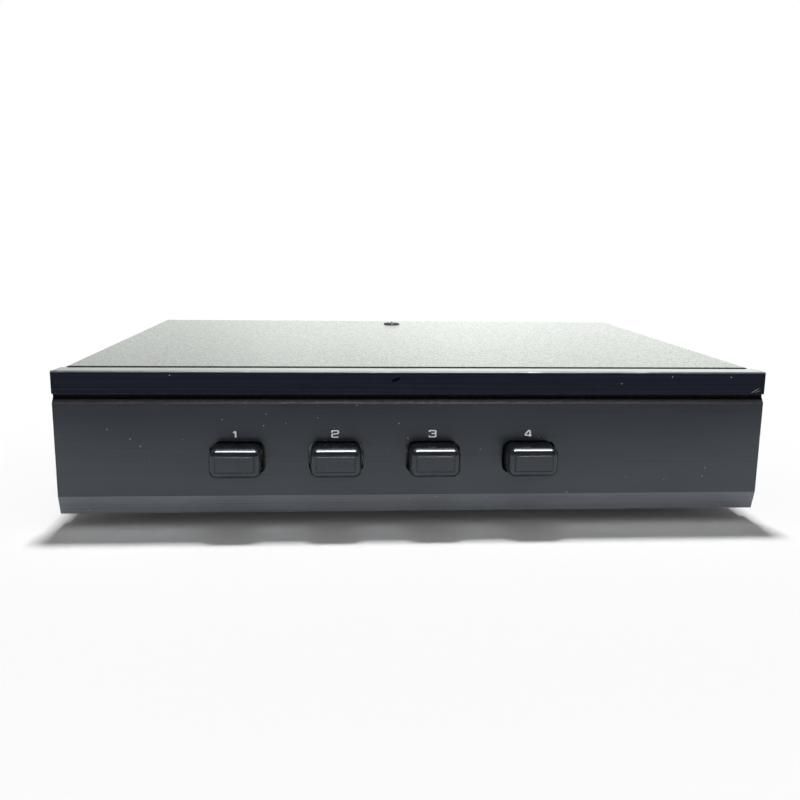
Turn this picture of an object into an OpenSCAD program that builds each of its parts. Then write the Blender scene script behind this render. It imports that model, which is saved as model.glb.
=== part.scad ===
// Speaker selector switch: a low steel case with a black front panel, four push-push
// buttons, a switch board inside and five blocks of lever terminals at the back.
// Millimetres. +Z is up and +Y runs from the front to the back. The origin is on the
// table, under the middle of the whole object. Places are given from the face of the
// front panel, and placed() moves them to that origin.

/* [Front panel] */
// Width of the front panel
panel_w = 250; // [246:1:300]
// Height of the front panel
panel_h = 51.1; // [50:0.1:60]
// Depth of the front panel, from its face to the case
panel_d = 8.4; // [8.2:0.1:12]
// Thickness of the panel's front wall
panel_wall = 3.2; // [2.8:0.1:3.6]
// Thickness of the panel's top, bottom and end walls
panel_rim = 2.6; // [1.5:0.1:4]
// Height of the plain strip along the top
strip_h = 8; // [6:0.1:10]
// Height of the groove under the strip
groove_h = 3.2; // [2:0.1:4.5]
// Depth of the groove
groove_d = 1.6; // [0.8:0.1:2]
// Height of the groove's square upper part
groove_step = 1.2; // [0.6:0.1:1.6]
// Height of the band that leans back along the bottom
band_h = 6.7; // [4:0.1:9]
// How far the band leans back at the bottom
band_d = 1.9; // [1:0.1:2.4]
// Radius of the panel's top front edge
panel_edge_r = 0.6; // [0.3:0.1:1.2]
// Radius of the screw pillars behind the panel
pillar_r = 4; // [3:0.1:5]
// Inset of the pillars from the ends of the panel or the sides of the cover, whichever is narrower
pillar_inset = 11.45; // [9:0.05:16]
// Inset of the pillars from the panel's top and bottom
pillar_inset_z = 9; // [7.5:0.1:11]

/* [Buttons] */
// Distance between button centres
button_pitch = 34.3; // [28:0.1:37]
// Centre of the first button, from the middle of the panel
button_x0 = -62.8; // [-68:0.1:-55]
// Height of the button centres above the panel's bottom edge
button_h0 = 20.4; // [18:0.1:24]
// Width of a button
button_w = 17.6; // [14:0.1:20]
// Height of a button
button_h = 10.4; // [9.6:0.1:14]
// Corner radius of a button, seen from the front
button_r = 2.6; // [1:0.1:4]
// Radius of the edges round a button's face
button_edge_r = 2.1; // [0.5:0.1:2.2]
// Gap between a button and its hole
button_gap = 0.8; // [0.3:0.1:1.2]
// How far a button's face stands out of the panel
button_out = 9.5; // [7:0.1:12]
// Travel of a button
button_travel = 4.5; // [3:0.1:4.5]
// Wall of a button
button_wall = 1.6; // [1:0.1:2]
// Width of the raised pad on a button's face
pad_w = 13.4; // [8:0.1:13.4]
// Height of the raised pad
pad_h = 5.4; // [3:0.1:6]
// Thickness of the raised pad
pad_t = 0.35; // [0.2:0.05:0.6]

/* [Case] */
// Gap between the front panel and the cover
cover_gap = 0.85; // [0.3:0.05:1.1]
// Width of the cover
cover_w = 246.9; // [240:0.1:250]
// Depth of the cover
cover_d = 171.1; // [160:0.1:220]
// How far the cover stands above the front panel
cover_rise = 0.3; // [0:0.1:1]
// Sheet thickness of the cover
cover_t = 1; // [0.8:0.1:1.5]
// Outer bend radius of the cover
cover_bend_r = 2; // [1.6:0.1:4]
// Clearance between the cover and the chassis
case_fit = 0.3; // [0.1:0.05:0.6]
// Sheet thickness of the chassis
sheet_t = 1.2; // [1:0.1:1.5]
// Height of the chassis side flanges
flange_h = 14; // [12:0.5:18]
// Depth of the lip along the top of the rear wall
lip_d = 10; // [6:0.5:12]
// How far the rear wall stands inside the cover's rear edge
rear_inset = 1.2; // [0.5:0.1:3]
// Width of the tab under the top screw
tab_w = 30; // [16:1:40]
// Depth of the tab under the top screw
tab_d = 21; // [20:0.5:24]
// Distance from the cover's rear edge to the top screw
top_screw_inset = 16; // [13:0.5:17]
// Height of the side screws above the case floor
side_screw_h = 8; // [6:0.5:9]
// Distance from the cover's front and rear edges to the side screws
side_screw_inset = 30; // [20:1:50]

/* [Feet] */
// Height of the feet
foot_h = 6; // [5:0.1:10]
// How far the front panel hangs below the chassis floor
panel_drop = 1; // [0:0.1:2]
// Radius of a foot at the floor of the case
foot_r = 8; // [6.5:0.1:9]
// How much narrower a foot is at the table
foot_taper = 0.8; // [0.2:0.1:1.2]
// Radius of the recess in a foot
foot_recess_r = 4; // [3.2:0.1:4.5]
// Depth of the recess in a foot
foot_recess_d = 3; // [2:0.1:3.4]
// Inset of the feet from the cover's sides
foot_inset = 15.5; // [13:0.5:18]
// Inset of the feet from the cover's front and rear edges
foot_inset_y = 22; // [20:0.5:30]

/* [Screws] */
// Shank radius of the small screws
screw_r = 1.45; // [1:0.05:1.6]
// Head radius of the small screws
screw_head_r = 2.8; // [2.4:0.1:3]
// Head height of the small screws
screw_head_h = 1.4; // [1:0.1:1.5]
// Head radius of the cover screws
cover_head_r = 4.3; // [3:0.1:5]
// Clearance between a screw and its hole
screw_fit = 0.1; // [0.05:0.01:0.15]
// How far a screw reaches past the last sheet that it holds
screw_reach = 1.5; // [1:0.1:2]
// Length of the cover screws' shanks
cover_screw_l = 5; // [4:0.5:6]
// Depth that the screws take in the hex spacers
spacer_grip = 4; // [3:0.5:4.5]
// Length that the block screws reach behind the rear wall
block_screw_reach = 3; // [2:0.5:5]
// Width of the cross in a screw head
cross_w = 0.8; // [0.5:0.1:1]
// Depth of the cross in a screw head
cross_d = 0.8; // [0.4:0.1:0.9]

/* [Switches] */
// Distance from the front wall to the web of the switch rail
rail_stand = 3.2; // [2:0.1:4]
// Height of the switch rail
rail_h = 17; // [14:0.5:18]
// How far the rail reaches past the outer buttons
rail_over = 14; // [10:0.5:16]
// Length of the rail's ears
rail_ear = 12; // [9:0.5:14]
// Width of a switch body
switch_w = 13; // [12:0.1:16]
// Height of a switch body
switch_h = 12.8; // [11:0.1:14]
// Length of a switch body
switch_l = 32; // [31:0.5:40]
// Wall at the front and back of a switch body
switch_wall = 1.5; // [1:0.1:2]
// Side of the plunger's square slide
slide_w = 6; // [5:0.1:6.6]
// Clearance round the slide
slide_fit = 0.2; // [0.1:0.05:0.4]
// Radius of the plunger's stem
stem_r = 2.2; // [1.6:0.1:2.4]
// Clearance round the stem
stem_fit = 0.08; // [0.05:0.01:0.1]
// Radius of the plunger's collar
collar_r = 4.4; // [4.2:0.1:4.8]
// Thickness of the plunger's collar
collar_t = 1; // [0.8:0.1:1.4]
// Side of the button's square socket
socket_w = 7; // [6.4:0.1:7.2]
// How far the socket reaches behind the button's skirt
socket_out = 1.1; // [0.5:0.1:1.4]
// Radius of the clearance holes in the front wall and the rail
plunger_hole_r = 6; // [5.4:0.1:6.4]
// Mean radius of a return spring
spring_r = 3.5; // [3.2:0.1:3.8]
// Wire radius of a return spring
spring_wire_r = 0.3; // [0.2:0.05:0.35]
// Turns of a return spring
spring_turns = 5; // [4:1:5]
// Distance from a switch's front to its first solder pin
pin_first = 6; // [4:0.5:8]
// Side of a solder pin
pin_w = 0.7; // [0.5:0.1:0.9]
// Distance between the solder pins of a row
pin_pitch = 4; // [3:0.5:4.5]
// Distance between the two rows of solder pins
pin_rows = 8; // [5:0.5:9]

/* [Circuit board] */
// Thickness of the board
board_t = 1.6; // [1:0.1:2]
// Gap between the board and the case sides
board_side_gap = 9; // [7:0.5:11]
// Front edge of the board, behind the switch rail
board_front_gap = 2; // [1:0.5:4]
// Depth of the board
board_d = 96; // [94:1:100]
// Distance from the board's front edge to its front holes
board_hole_front = 8; // [6:0.5:8]
// Distance from the board's rear edge to its rear holes
board_hole_rear = 16; // [15:0.5:17]
// Distance from the board's ends to its holes
board_hole_x = 16; // [14:0.5:17]
// Clearance round leads and pins in the board
lead_fit = 0.15; // [0.1:0.05:0.2]
// How far leads and pins stand below the board
lead_out = 1.4; // [0.8:0.1:2]
// Radius of the hex spacers
spacer_r = 3; // [2.8:0.1:4]
// Width of a power resistor
resistor_w = 9; // [7:0.5:12]
// Height of a power resistor
resistor_h = 8.5; // [7:0.5:10]
// Length of a power resistor
resistor_l = 22; // [18:0.5:24]
// Distance between power resistors
resistor_pitch = 25; // [20:0.5:27]
// Distance from the board's front edge to the resistors
resistor_y = 43; // [42:1:46]
// Side of a resistor lead
resistor_lead = 0.8; // [0.6:0.1:1]
// How far a lead leaves the resistor before it turns down
lead_run = 2; // [1.5:0.1:3]
// Width of a board header
header_w = 18; // [16:0.5:22]
// Depth of a board header
header_d = 6; // [5:0.5:8]
// Distance from the board's rear edge to its headers
header_inset = 2; // [1:0.5:3]
// Height of a board header
header_h = 8; // [6:0.5:10]
// Distance between the wires in a header
header_pitch = 4; // [3:0.1:4.5]
// Radius of an internal wire
wire_r = 0.8; // [0.5:0.1:1]

/* [Terminals] */
// Distance from the cover's side to the middle of the input block
input_inset = 30.45; // [27.5:0.05:32.5]
// Centre of the first output block
output_x0 = 36; // [33:0.5:38]
// Distance between output blocks
output_pitch = 42; // [38:0.5:42]
// Width of a block's face
block_w = 34; // [33:0.5:36]
// Height of a block's face
block_h = 43; // [42:0.1:44]
// Thickness of a block's face
block_t = 2.4; // [2:0.1:3]
// Corner radius of a block's face
block_r = 2; // [0.5:0.1:3]
// Width of a block's body
body_w = 29.5; // [29:0.1:31]
// Height of a block's body
body_h = 31; // [30:0.1:31.2]
// Depth of a block's body inside the case
body_d = 15; // [14.6:0.1:18]
// Clearance between a block's body and the rear wall
block_fit = 0.2; // [0.1:0.05:0.3]
// Distance between the columns of terminals
cell_pitch_x = 14; // [13.5:0.1:14.2]
// Distance between the rows of terminals
cell_pitch_z = 15; // [14.5:0.1:15.4]
// Width of a terminal's pocket
pocket_w = 10.4; // [9.6:0.1:10.8]
// Distance from a block's middle height to its screws
block_screw_z = 17.8; // [17.4:0.1:18.2]
// Shank radius of the block screws
block_screw_r = 1.2; // [1:0.05:1.3]
// Head radius of the block screws
block_head_r = 2.4; // [2:0.1:2.6]
// Width of a wire slot
slot_w = 3.6; // [3:0.1:3.9]
// Height of a wire slot
slot_h = 3.2; // [2.4:0.1:3.4]
// Height of a wire slot's middle, below the terminal's middle
slot_drop = 3.4; // [3:0.1:3.6]
// Width of the step round the mouth of a wire slot
mouth_step = 0.7; // [0.4:0.1:0.9]

/* [Levers] */
// How far the levers stand out of the rear wall
lever_out = 9; // [7.5:0.1:11]
// Clearance between a lever and the sides of its pocket
lever_fit = 0.2; // [0.1:0.05:0.4]
// Thickness of a lever's tab
lever_t = 2.2; // [1.8:0.1:2.4]
// Rise of a lever's tab at rest, in degrees
lever_rise = 14; // [12:0.5:15]
// Travel of a lever, in degrees
lever_travel = 16; // [12:0.5:16]
// Depth of the lip at a lever's tip
tip_lip = 2; // [1:0.1:2.4]
// Thickness of the lip at a lever's tip
tip_t = 1.6; // [1.2:0.1:2]
// Radius of the ribs on a lever's tab
rib_r = 0.35; // [0.2:0.05:0.5]
// Distance from a lever's tip to its first rib
rib_inset = 1; // [0.6:0.1:1.2]
// Distance between the ribs
rib_pitch = 1.5; // [1.2:0.1:1.8]
// Radius of a lever's hub
hub_r = 1.9; // [1.5:0.1:2]
// Depth of the pivot behind the rear wall's outer face
pivot_depth = 4.5; // [4.2:0.1:4.8]
// Height of the pivot above the terminal's middle
pivot_rise = 2.2; // [2:0.1:2.4]
// Radius of a lever's trunnions
trunnion_r = 1.1; // [0.8:0.05:1.2]
// Length of a lever's trunnions
trunnion_l = 1; // [0.8:0.1:1.1]
// Clearance round a lever's trunnions
trunnion_fit = 0.05; // [0.02:0.01:0.08]
// Length of a lever's toes, from the pivot
toe_l = 4.4; // [4:0.1:4.6]
// Distance from a lever's side to its toe
toe_inset = 0.4; // [0.2:0.1:0.6]
// Thickness of a lever's toes
toe_t = 1.4; // [1:0.1:1.5]
// Width of a lever's toes
toe_w = 1.2; // [0.8:0.1:1.4]
// Slope of a lever's toes, in degrees
toe_slope = 27; // [24:1:30]
// Clearance between a lever's hub and the floor of its pocket
hub_gap = 0.9; // [0.6:0.1:1]
// Clearance between a lever's hub and the contact chamber's front
chamber_gap = 0.6; // [0.4:0.1:0.8]
// Thickness of the contact strip
strip_t = 0.5; // [0.3:0.05:0.6]
// Distance from the back of a block's body to its contacts
contact_inset = 1.4; // [1:0.1:1.8]
// Distance from the contact chamber's front to a contact's hook
hook_inset = 1; // [0.7:0.1:1.2]
// Height of a hook's end above the contact's floor strip
hook_gap = 1; // [0.5:0.1:1.5]
// Clearance between a lever's toes and its contact's top strip
toe_gap = 0.3; // [0.2:0.05:0.4]
// Width of the contact strip
contact_w = 9; // [8:0.1:9.4]
// Width of a contact's hook and tag
hook_w = 3; // [2:0.1:3.4]
// Length of a contact's tag
tag_l = 6; // [4:0.5:8]

/* [Hidden] */
CHANNELS = ["left", "right"];
COLOURS = ["red", "black"];
BLOCKS = ["input", "output_1", "output_2", "output_3", "output_4"];
BUTTONS = [1, 2, 3, 4];
$fn = 48;

// Overrun that makes a cut pass clean through a face
cut = 1;
// Shares of a screw head's radius: its flat crown and half the length of its cross
crown_share = 0.72;
cross_share = 0.55;

// Heights above the table
floor_z0 = foot_h;
floor_z1 = floor_z0 + sheet_t;
panel_z0 = floor_z0 - panel_drop;
panel_z1 = panel_z0 + panel_h;
cover_z1 = panel_z1 + cover_rise;
cover_z0 = cover_z1 - cover_t;
wall_z1 = cover_z0 - case_fit;
button_z = panel_z0 + button_h0;
board_z1 = button_z - switch_h / 2;
board_z0 = board_z1 - board_t;
block_z = (floor_z1 + wall_z1 - sheet_t) / 2;

// Depths behind the front panel's face
cover_y0 = panel_d + cover_gap;
cover_y1 = cover_y0 + cover_d;
front_y1 = panel_d + sheet_t;
rear_y1 = cover_y1 - rear_inset;
rear_y0 = rear_y1 - sheet_t;
rail_y0 = front_y1 + rail_stand;
switch_y0 = rail_y0 + sheet_t;
board_y0 = switch_y0 + board_front_gap;
board_y1 = board_y0 + board_d;
skirt_y1 = panel_wall;
collar_y0 = skirt_y1 + socket_out;
collar_y1 = collar_y0 + collar_t;
top_screw_y = cover_y1 - top_screw_inset;
middle_y = (rear_y1 + lever_out - button_out - pad_t) / 2;

// Half widths
cover_x = cover_w / 2;
chassis_x = cover_x - cover_t - case_fit;
board_x = chassis_x - sheet_t - board_side_gap;

// Rows of places
button_xs = [for (n = BUTTONS) button_x0 + (n - 1) * button_pitch];
block_xs = concat([cover_x - input_inset], [for (n = [0 : 3]) output_x0 - n * output_pitch]);
side_screw_z = floor_z0 + side_screw_h;
side_screw_ys = [cover_y0 + side_screw_inset, cover_y1 - side_screw_inset];
pillar_xs = [-1, 1] * (min(panel_w / 2, cover_x) - pillar_inset);
pillar_zs = [panel_z0 + pillar_inset_z, panel_z1 - pillar_inset_z];
foot_xs = [-1, 1] * (cover_x - foot_inset);
foot_ys = [cover_y0 + foot_inset_y, cover_y1 - foot_inset_y];
spacer_xs = [-1, 1] * (board_x - board_hole_x);
spacer_ys = [board_y0 + board_hole_front, board_y1 - board_hole_rear];
rail_x0 = button_xs[0] - rail_over;
rail_x1 = button_xs[3] + rail_over;
rail_screw_xs = [rail_x0 - rail_ear / 2, rail_x1 + rail_ear / 2];
resistor_xs = [for (n = [0 : 7]) (n - 3.5) * resistor_pitch];
pin_ys = [for (n = [0 : 5]) switch_y0 + pin_first + n * pin_pitch];
header_y1 = board_y1 - header_inset;
wire_z = board_z1 + header_h / 2;

// One terminal, seen from the side: v runs outwards, w upwards, from the cell's middle
// on the rear wall's outer face
lever_w = pocket_w - 2 * lever_fit;
pivot_v = -pivot_depth;
pivot_w = pivot_rise;
tip_run = lever_out + pivot_depth;
tab_half = lever_t / 2 / cos(lever_rise);
pocket_top = pivot_w + (pivot_depth + block_t) * tan(lever_rise) + tab_half + lever_fit;
pressed_tab = pivot_w + (pivot_depth + block_t) * tan(lever_rise - lever_travel) - tab_half;
pocket_floor = min(pivot_w - hub_r, pressed_tab) - hub_gap;
chamber_v = pivot_v - hub_r - chamber_gap;
chamber_floor = -slot_drop - slot_h;
strip_low = chamber_floor + strip_t / 2;
hook_v = chamber_v - hook_inset;
toe_top = pivot_w - (pivot_v - hook_v - strip_t / 2) * tan(toe_slope) + toe_t / 2 / cos(toe_slope);
contact_back = -body_d + contact_inset;
contact_top = toe_top + toe_gap + strip_t / 2;

// ---------------------------------------------------------------- shared shapes

// Moves a piece from the panel's face to the object's origin
module placed() translate([0, -middle_y, 0]) children();

// A block between two corners
module box(low, high) translate(low) cube(high - low);

// A flat outline in X and Z, pushed from y0 to y1
module along_y(y0, y1) translate([0, y1, 0]) rotate([90, 0, 0]) linear_extrude(y1 - y0) children();

// A flat outline in Y and Z, pushed from x0 to x1
module along_x(x0, x1) translate([x0, 0, 0]) rotate([90, 0, 90]) linear_extrude(x1 - x0) children();

// A round bar along Y
module rod_y(x, z, r, y0, y1) along_y(y0, y1) translate([x, z]) circle(r);

// A rectangle with round corners, centred
module round_rect(w, h, r) {
    square([w - 2 * r, h], center = true);
    square([w, h - 2 * r], center = true);
    for (sx = [-1, 1], sy = [-1, 1]) translate([sx * (w / 2 - r), sy * (h / 2 - r)]) circle(r);
}

// A screw with a bevelled head and a cross, head up, its seat at z = 0
module screw(shank_r, head_r, head_h, length) {
    crown_r = head_r * crown_share;
    cross_l = 2 * head_r * cross_share;
    difference() {
        union() {
            translate([0, 0, -length]) cylinder(r = shank_r, h = length);
            cylinder(r = head_r, h = head_h / 2);
            translate([0, 0, head_h / 2]) cylinder(r1 = head_r, r2 = crown_r, h = head_h / 2);
        }
        for (turn = [0, 90]) rotate([0, 0, turn])
            translate([-cross_l / 2, -cross_w / 2, head_h - cross_d]) cube([cross_l, cross_w, cross_d + cut]);
    }
}

module small_screw(length) screw(screw_r, screw_head_r, screw_head_h, length);

// Turns a screw so that its head faces the front or the back
module facing_front() rotate([90, 0, 0]) children();
module facing_back() rotate([-90, 0, 0]) children();

// ---------------------------------------------------------------- front panel

// The panel's section: strip, groove, field and leaning band, seen from the side
module panel_section() {
    field_top = panel_h - strip_h - groove_h;
    polygon([
        [panel_edge_r, panel_h], [0, panel_h - panel_edge_r],
        [0, panel_h - strip_h], [groove_d, panel_h - strip_h],
        [groove_d, panel_h - strip_h - groove_step], [0, field_top],
        [0, band_h], [band_d, 0], [panel_d, 0], [panel_d, panel_h]
    ]);
    translate([panel_edge_r, panel_h - panel_edge_r]) circle(panel_edge_r);
}

module front_panel() color([0.14, 0.15, 0.17]) placed() {
    inner_x = panel_w / 2 - panel_rim;
    difference() {
        union() {
            difference() {
                translate([0, 0, panel_z0]) along_x(-panel_w / 2, panel_w / 2) panel_section();
                box([-inner_x, panel_wall, panel_z0 + panel_rim],
                    [inner_x, panel_d + cut, panel_z1 - panel_rim]);
            }
            for (x = pillar_xs, z = pillar_zs) rod_y(x, z, pillar_r, panel_wall - cut / 2, panel_d);
        }
        along_y(-cut, panel_wall + cut) for (x = button_xs) translate([x, button_z])
            round_rect(button_w + 2 * button_gap, button_h + 2 * button_gap, button_r + button_gap);
        for (x = pillar_xs, z = pillar_zs) rod_y(x, z, screw_r + screw_fit, panel_wall + cut, panel_d + cut);
    }
}

// ---------------------------------------------------------------- case

// The hood's outline in X and Z, with round bends at its two top edges
module hood(half_w, top, bend_r) {
    translate([-half_w, floor_z0 - cut]) square([2 * half_w, top - bend_r - floor_z0 + cut]);
    translate([-half_w + bend_r, floor_z0 - cut]) square([2 * (half_w - bend_r), top - floor_z0 + cut]);
    for (side = [-1, 1]) translate([side * (half_w - bend_r), top - bend_r]) circle(bend_r);
}

module top_cover() color([0.2, 0.2, 0.21]) placed() difference() {
    along_y(cover_y0, cover_y1) intersection() {
        difference() {
            hood(cover_x, cover_z1, cover_bend_r);
            translate([0, -cut / 2]) hood(cover_x - cover_t, cover_z0 + cut / 2, cover_bend_r - cover_t);
        }
        translate([-cover_w, floor_z0]) square([2 * cover_w, cover_z1]);
    }
    sheet_hole(0, top_screw_y, cover_z0, cover_t);
    side_screw_holes();
}

// A screw hole down through a sheet whose underside is at z0
module sheet_hole(x, y, z0, t) translate([x, y, z0 - cut]) cylinder(r = screw_r + screw_fit, h = t + 2 * cut);

// The side screws' holes, right across the case
module side_screw_holes() for (y = side_screw_ys) translate([-cover_w, y, side_screw_z]) rotate([0, 90, 0])
    cylinder(r = screw_r + screw_fit, h = 2 * cover_w);

module chassis() color([0.62, 0.63, 0.64]) placed() difference() {
    union() {
        box([-chassis_x, panel_d, floor_z0], [chassis_x, rear_y1, floor_z1]);
        box([-chassis_x, panel_d, floor_z0], [chassis_x, front_y1, wall_z1]);
        box([-chassis_x, rear_y0, floor_z0], [chassis_x, rear_y1, wall_z1]);
        box([-chassis_x, rear_y1 - lip_d, wall_z1 - sheet_t], [chassis_x, rear_y1, wall_z1]);
        box([-tab_w / 2, rear_y1 - tab_d, wall_z1 - sheet_t], [tab_w / 2, rear_y1, wall_z1]);
        for (side = [-1, 1]) translate([side * (chassis_x - sheet_t / 2), 0, 0])
            box([-sheet_t / 2, panel_d, floor_z0], [sheet_t / 2, rear_y1, floor_z0 + flange_h]);
    }
    for (x = button_xs) rod_y(x, button_z, plunger_hole_r, panel_d - cut, front_y1 + cut);
    for (x = pillar_xs, z = pillar_zs) rod_y(x, z, screw_r + screw_fit, panel_d - cut, front_y1 + cut);
    for (x = rail_screw_xs) rod_y(x, button_z, screw_r + screw_fit, panel_d - cut, front_y1 + cut);
    for (x = block_xs) translate([x, 0, block_z]) {
        box([-body_w / 2 - block_fit, rear_y0 - cut, -body_h / 2 - block_fit],
            [body_w / 2 + block_fit, rear_y1 + cut, body_h / 2 + block_fit]);
        for (side = [-1, 1])
            rod_y(0, side * block_screw_z, block_screw_r + screw_fit, rear_y0 - cut, rear_y1 + cut);
    }
    for (x = foot_xs, y = foot_ys) sheet_hole(x, y, floor_z0, sheet_t);
    for (x = spacer_xs, y = spacer_ys) sheet_hole(x, y, floor_z0, sheet_t);
    sheet_hole(0, top_screw_y, wall_z1 - sheet_t, sheet_t);
    side_screw_holes();
}

module feet() color([0.08, 0.08, 0.08]) placed() for (x = foot_xs, y = foot_ys) translate([x, y, 0])
    difference() {
        cylinder(r1 = foot_r - foot_taper, r2 = foot_r, h = foot_h);
        translate([0, 0, -cut]) cylinder(r = foot_recess_r, h = foot_recess_d + cut);
        translate([0, 0, -cut]) cylinder(r = screw_r + screw_fit, h = foot_h + 2 * cut);
    }

module foot_screws() color("silver") placed() for (x = foot_xs, y = foot_ys)
    translate([x, y, foot_recess_d]) rotate([180, 0, 0])
        small_screw(foot_h - foot_recess_d + sheet_t + screw_reach);

module cover_screws() color([0.1, 0.1, 0.1]) placed() {
    translate([0, top_screw_y, cover_z1]) screw(screw_r, cover_head_r, screw_head_h, cover_screw_l);
    for (side = [-1, 1], y = side_screw_ys) translate([side * cover_x, y, side_screw_z])
        rotate([0, side * 90, 0]) screw(screw_r, cover_head_r, screw_head_h, cover_screw_l);
}

module panel_screws() color("silver") placed() for (x = pillar_xs, z = pillar_zs)
    translate([x, front_y1, z]) facing_back() small_screw(sheet_t + panel_d - panel_wall - cut - screw_fit);

// ---------------------------------------------------------------- switches

// The rail's outline in plan: a web between two legs, with an ear at each end
module rail_plan() {
    translate([rail_x0, rail_y0]) square([rail_x1 - rail_x0, sheet_t]);
    for (x = [rail_x0, rail_x1 - sheet_t]) translate([x, front_y1]) square([sheet_t, switch_y0 - front_y1]);
    translate([rail_x0 - rail_ear, front_y1]) square([rail_ear + sheet_t, sheet_t]);
    translate([rail_x1 - sheet_t, front_y1]) square([rail_ear + sheet_t, sheet_t]);
}

module switch_rail() color([0.72, 0.72, 0.7]) placed() difference() {
    translate([0, 0, button_z - rail_h / 2]) linear_extrude(rail_h) rail_plan();
    for (x = button_xs) rod_y(x, button_z, plunger_hole_r, rail_y0 - cut, switch_y0 + cut);
    for (x = rail_screw_xs) rod_y(x, button_z, screw_r + screw_fit, front_y1 - cut, front_y1 + sheet_t + cut);
}

module rail_screws() color("silver") placed() for (x = rail_screw_xs)
    translate([x, panel_d, button_z]) facing_front() small_screw(2 * sheet_t + screw_reach);

module button(n) color([0.17, 0.18, 0.2]) placed() translate([button_xs[n], 0, button_z]) {
    face_y = -button_out;
    inner = [button_w / 2 - button_wall, button_h / 2 - button_wall];
    socket = socket_w / 2;
    difference() {
        union() {
            difference() {
                rounded_block(face_y, skirt_y1);
                box([-inner[0], face_y + button_wall + button_edge_r / 2, -inner[1]],
                    [inner[0], skirt_y1 + cut, inner[1]]);
            }
            box([-socket, face_y + button_wall, -socket], [socket, collar_y0, socket]);
            box([-pad_w / 2, face_y - pad_t, -pad_h / 2], [pad_w / 2, face_y + cut, pad_h / 2]);
        }
        rod_y(0, 0, stem_r + stem_fit, face_y + 2 * button_wall, collar_y0 + cut);
    }
}

// A button's outer block: three outlines crossed, so that every edge of its face is round
module rounded_block(y0, y1) intersection() {
    along_y(y0, y1) round_rect(button_w, button_h, button_r);
    along_x(-button_w, button_w) round_front(y0, y1, button_h);
    translate([0, 0, -button_h]) linear_extrude(2 * button_h) rotate([0, 0, 90]) mirror([0, 1])
        round_front(y0, y1, button_w);
}

// A rectangle from y0 to y1 with round corners at its y0 end
module round_front(y0, y1, h) {
    r = button_edge_r;
    translate([y0 + r, -h / 2]) square([y1 - y0 - r, h]);
    translate([y0, -h / 2 + r]) square([y1 - y0, h - 2 * r]);
    for (side = [-1, 1]) translate([y0 + r, side * (h / 2 - r)]) circle(r);
}

module plunger(n) color([0.85, 0.85, 0.8]) placed() translate([button_xs[n], 0, button_z]) {
    slide_y0 = switch_y0 + switch_wall + slide_fit;
    slide_l = switch_l - 2 * (switch_wall + slide_fit) - button_travel;
    rod_y(0, 0, stem_r, -button_out + 2 * button_wall, slide_y0 + cut);
    rod_y(0, 0, collar_r, collar_y0, collar_y1);
    box([-slide_w / 2, slide_y0, -slide_w / 2], [slide_w / 2, slide_y0 + slide_l, slide_w / 2]);
}

module switch_body(n) color([0.12, 0.12, 0.13]) placed() translate([button_xs[n], 0, button_z]) {
    hollow = slide_w / 2 + slide_fit;
    difference() {
        box([-switch_w / 2, switch_y0, -switch_h / 2], [switch_w / 2, switch_y0 + switch_l, switch_h / 2]);
        box([-hollow, switch_y0 + switch_wall, -hollow],
            [hollow, switch_y0 + switch_l - switch_wall, hollow]);
        rod_y(0, 0, stem_r + stem_fit, switch_y0 - cut, switch_y0 + switch_wall + cut);
    }
}

module switch_pins() color("silver") placed() for (x = button_xs, row = [-1, 1], y = pin_ys)
    translate([x + row * pin_rows / 2, y, 0])
        box([-pin_w / 2, -pin_w / 2, board_z0 - lead_out], [pin_w / 2, pin_w / 2, board_z1]);

// ---------------------------------------------------------------- wound and bent tubes

// Points of a ring of the given radius round c, across the unit directions a and b
function ring(c, a, b, r, sides) = [for (k = [0 : sides - 1])
    c + r * cos(360 * k / sides) * a + r * sin(360 * k / sides) * b];

// A closed tube from a list of rings, each with the same number of points
module tube(rings) {
    sides = len(rings[0]);
    last = len(rings) - 1;
    polyhedron(
        points = [for (one = rings) each one],
        faces = concat(
            [[for (k = [0 : sides - 1]) k]],
            [for (i = [0 : last - 1], k = [0 : sides - 1]) each [
                [i * sides + k, (i + 1) * sides + k, i * sides + (k + 1) % sides],
                [(i + 1) * sides + k, (i + 1) * sides + (k + 1) % sides, i * sides + (k + 1) % sides]
            ]],
            [[for (k = [sides - 1 : -1 : 0]) last * sides + k]]
        )
    );
}

// A return spring's centre line, from the collar to the switch body
spring_y0 = collar_y1 + spring_wire_r;
spring_y1 = switch_y0 - spring_wire_r;
spring_step = 45;
spring_pitch = (spring_y1 - spring_y0) / spring_turns;
function spring_point(turn) = [spring_r * cos(turn), spring_y0 + spring_pitch * turn / 360, spring_r * sin(turn)];
spring_line = [for (turn = [0 : spring_step : 360 * spring_turns]) spring_point(turn)];
spring_gaps = [for (a = [0 : len(spring_line) - 1], b = [a + 360 / spring_step - 2 : len(spring_line) - 1])
    norm(spring_line[a] - spring_line[b]) - 2 * spring_wire_r];
echo(least_gap_of_a_spring_to_itself_mm = min(spring_gaps));

module return_spring(n) color("silver") placed() translate([button_xs[n], 0, button_z])
    tube([for (i = [0 : len(spring_line) - 1]) let (
        turn = i * spring_step,
        outwards = [cos(turn), 0, sin(turn)]
    ) ring(spring_line[i], outwards, [0, 1, 0], spring_wire_r, 6)]);

// ---------------------------------------------------------------- circuit board

module circuit_board() color([0.1, 0.35, 0.16]) placed() difference() {
    box([-board_x, board_y0, board_z0], [board_x, board_y1, board_z1]);
    for (x = spacer_xs, y = spacer_ys) sheet_hole(x, y, board_z0, board_t);
    for (x = button_xs, row = [-1, 1], y = pin_ys)
        square_hole(x + row * pin_rows / 2, y, pin_w + 2 * lead_fit);
    for (x = resistor_xs, y = resistor_lead_ys) square_hole(x, y, resistor_lead + 2 * lead_fit);
}

// A square hole through the board
module square_hole(x, y, w) translate([x, y, 0])
    box([-w / 2, -w / 2, board_z0 - cut], [w / 2, w / 2, board_z1 + cut]);

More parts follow.
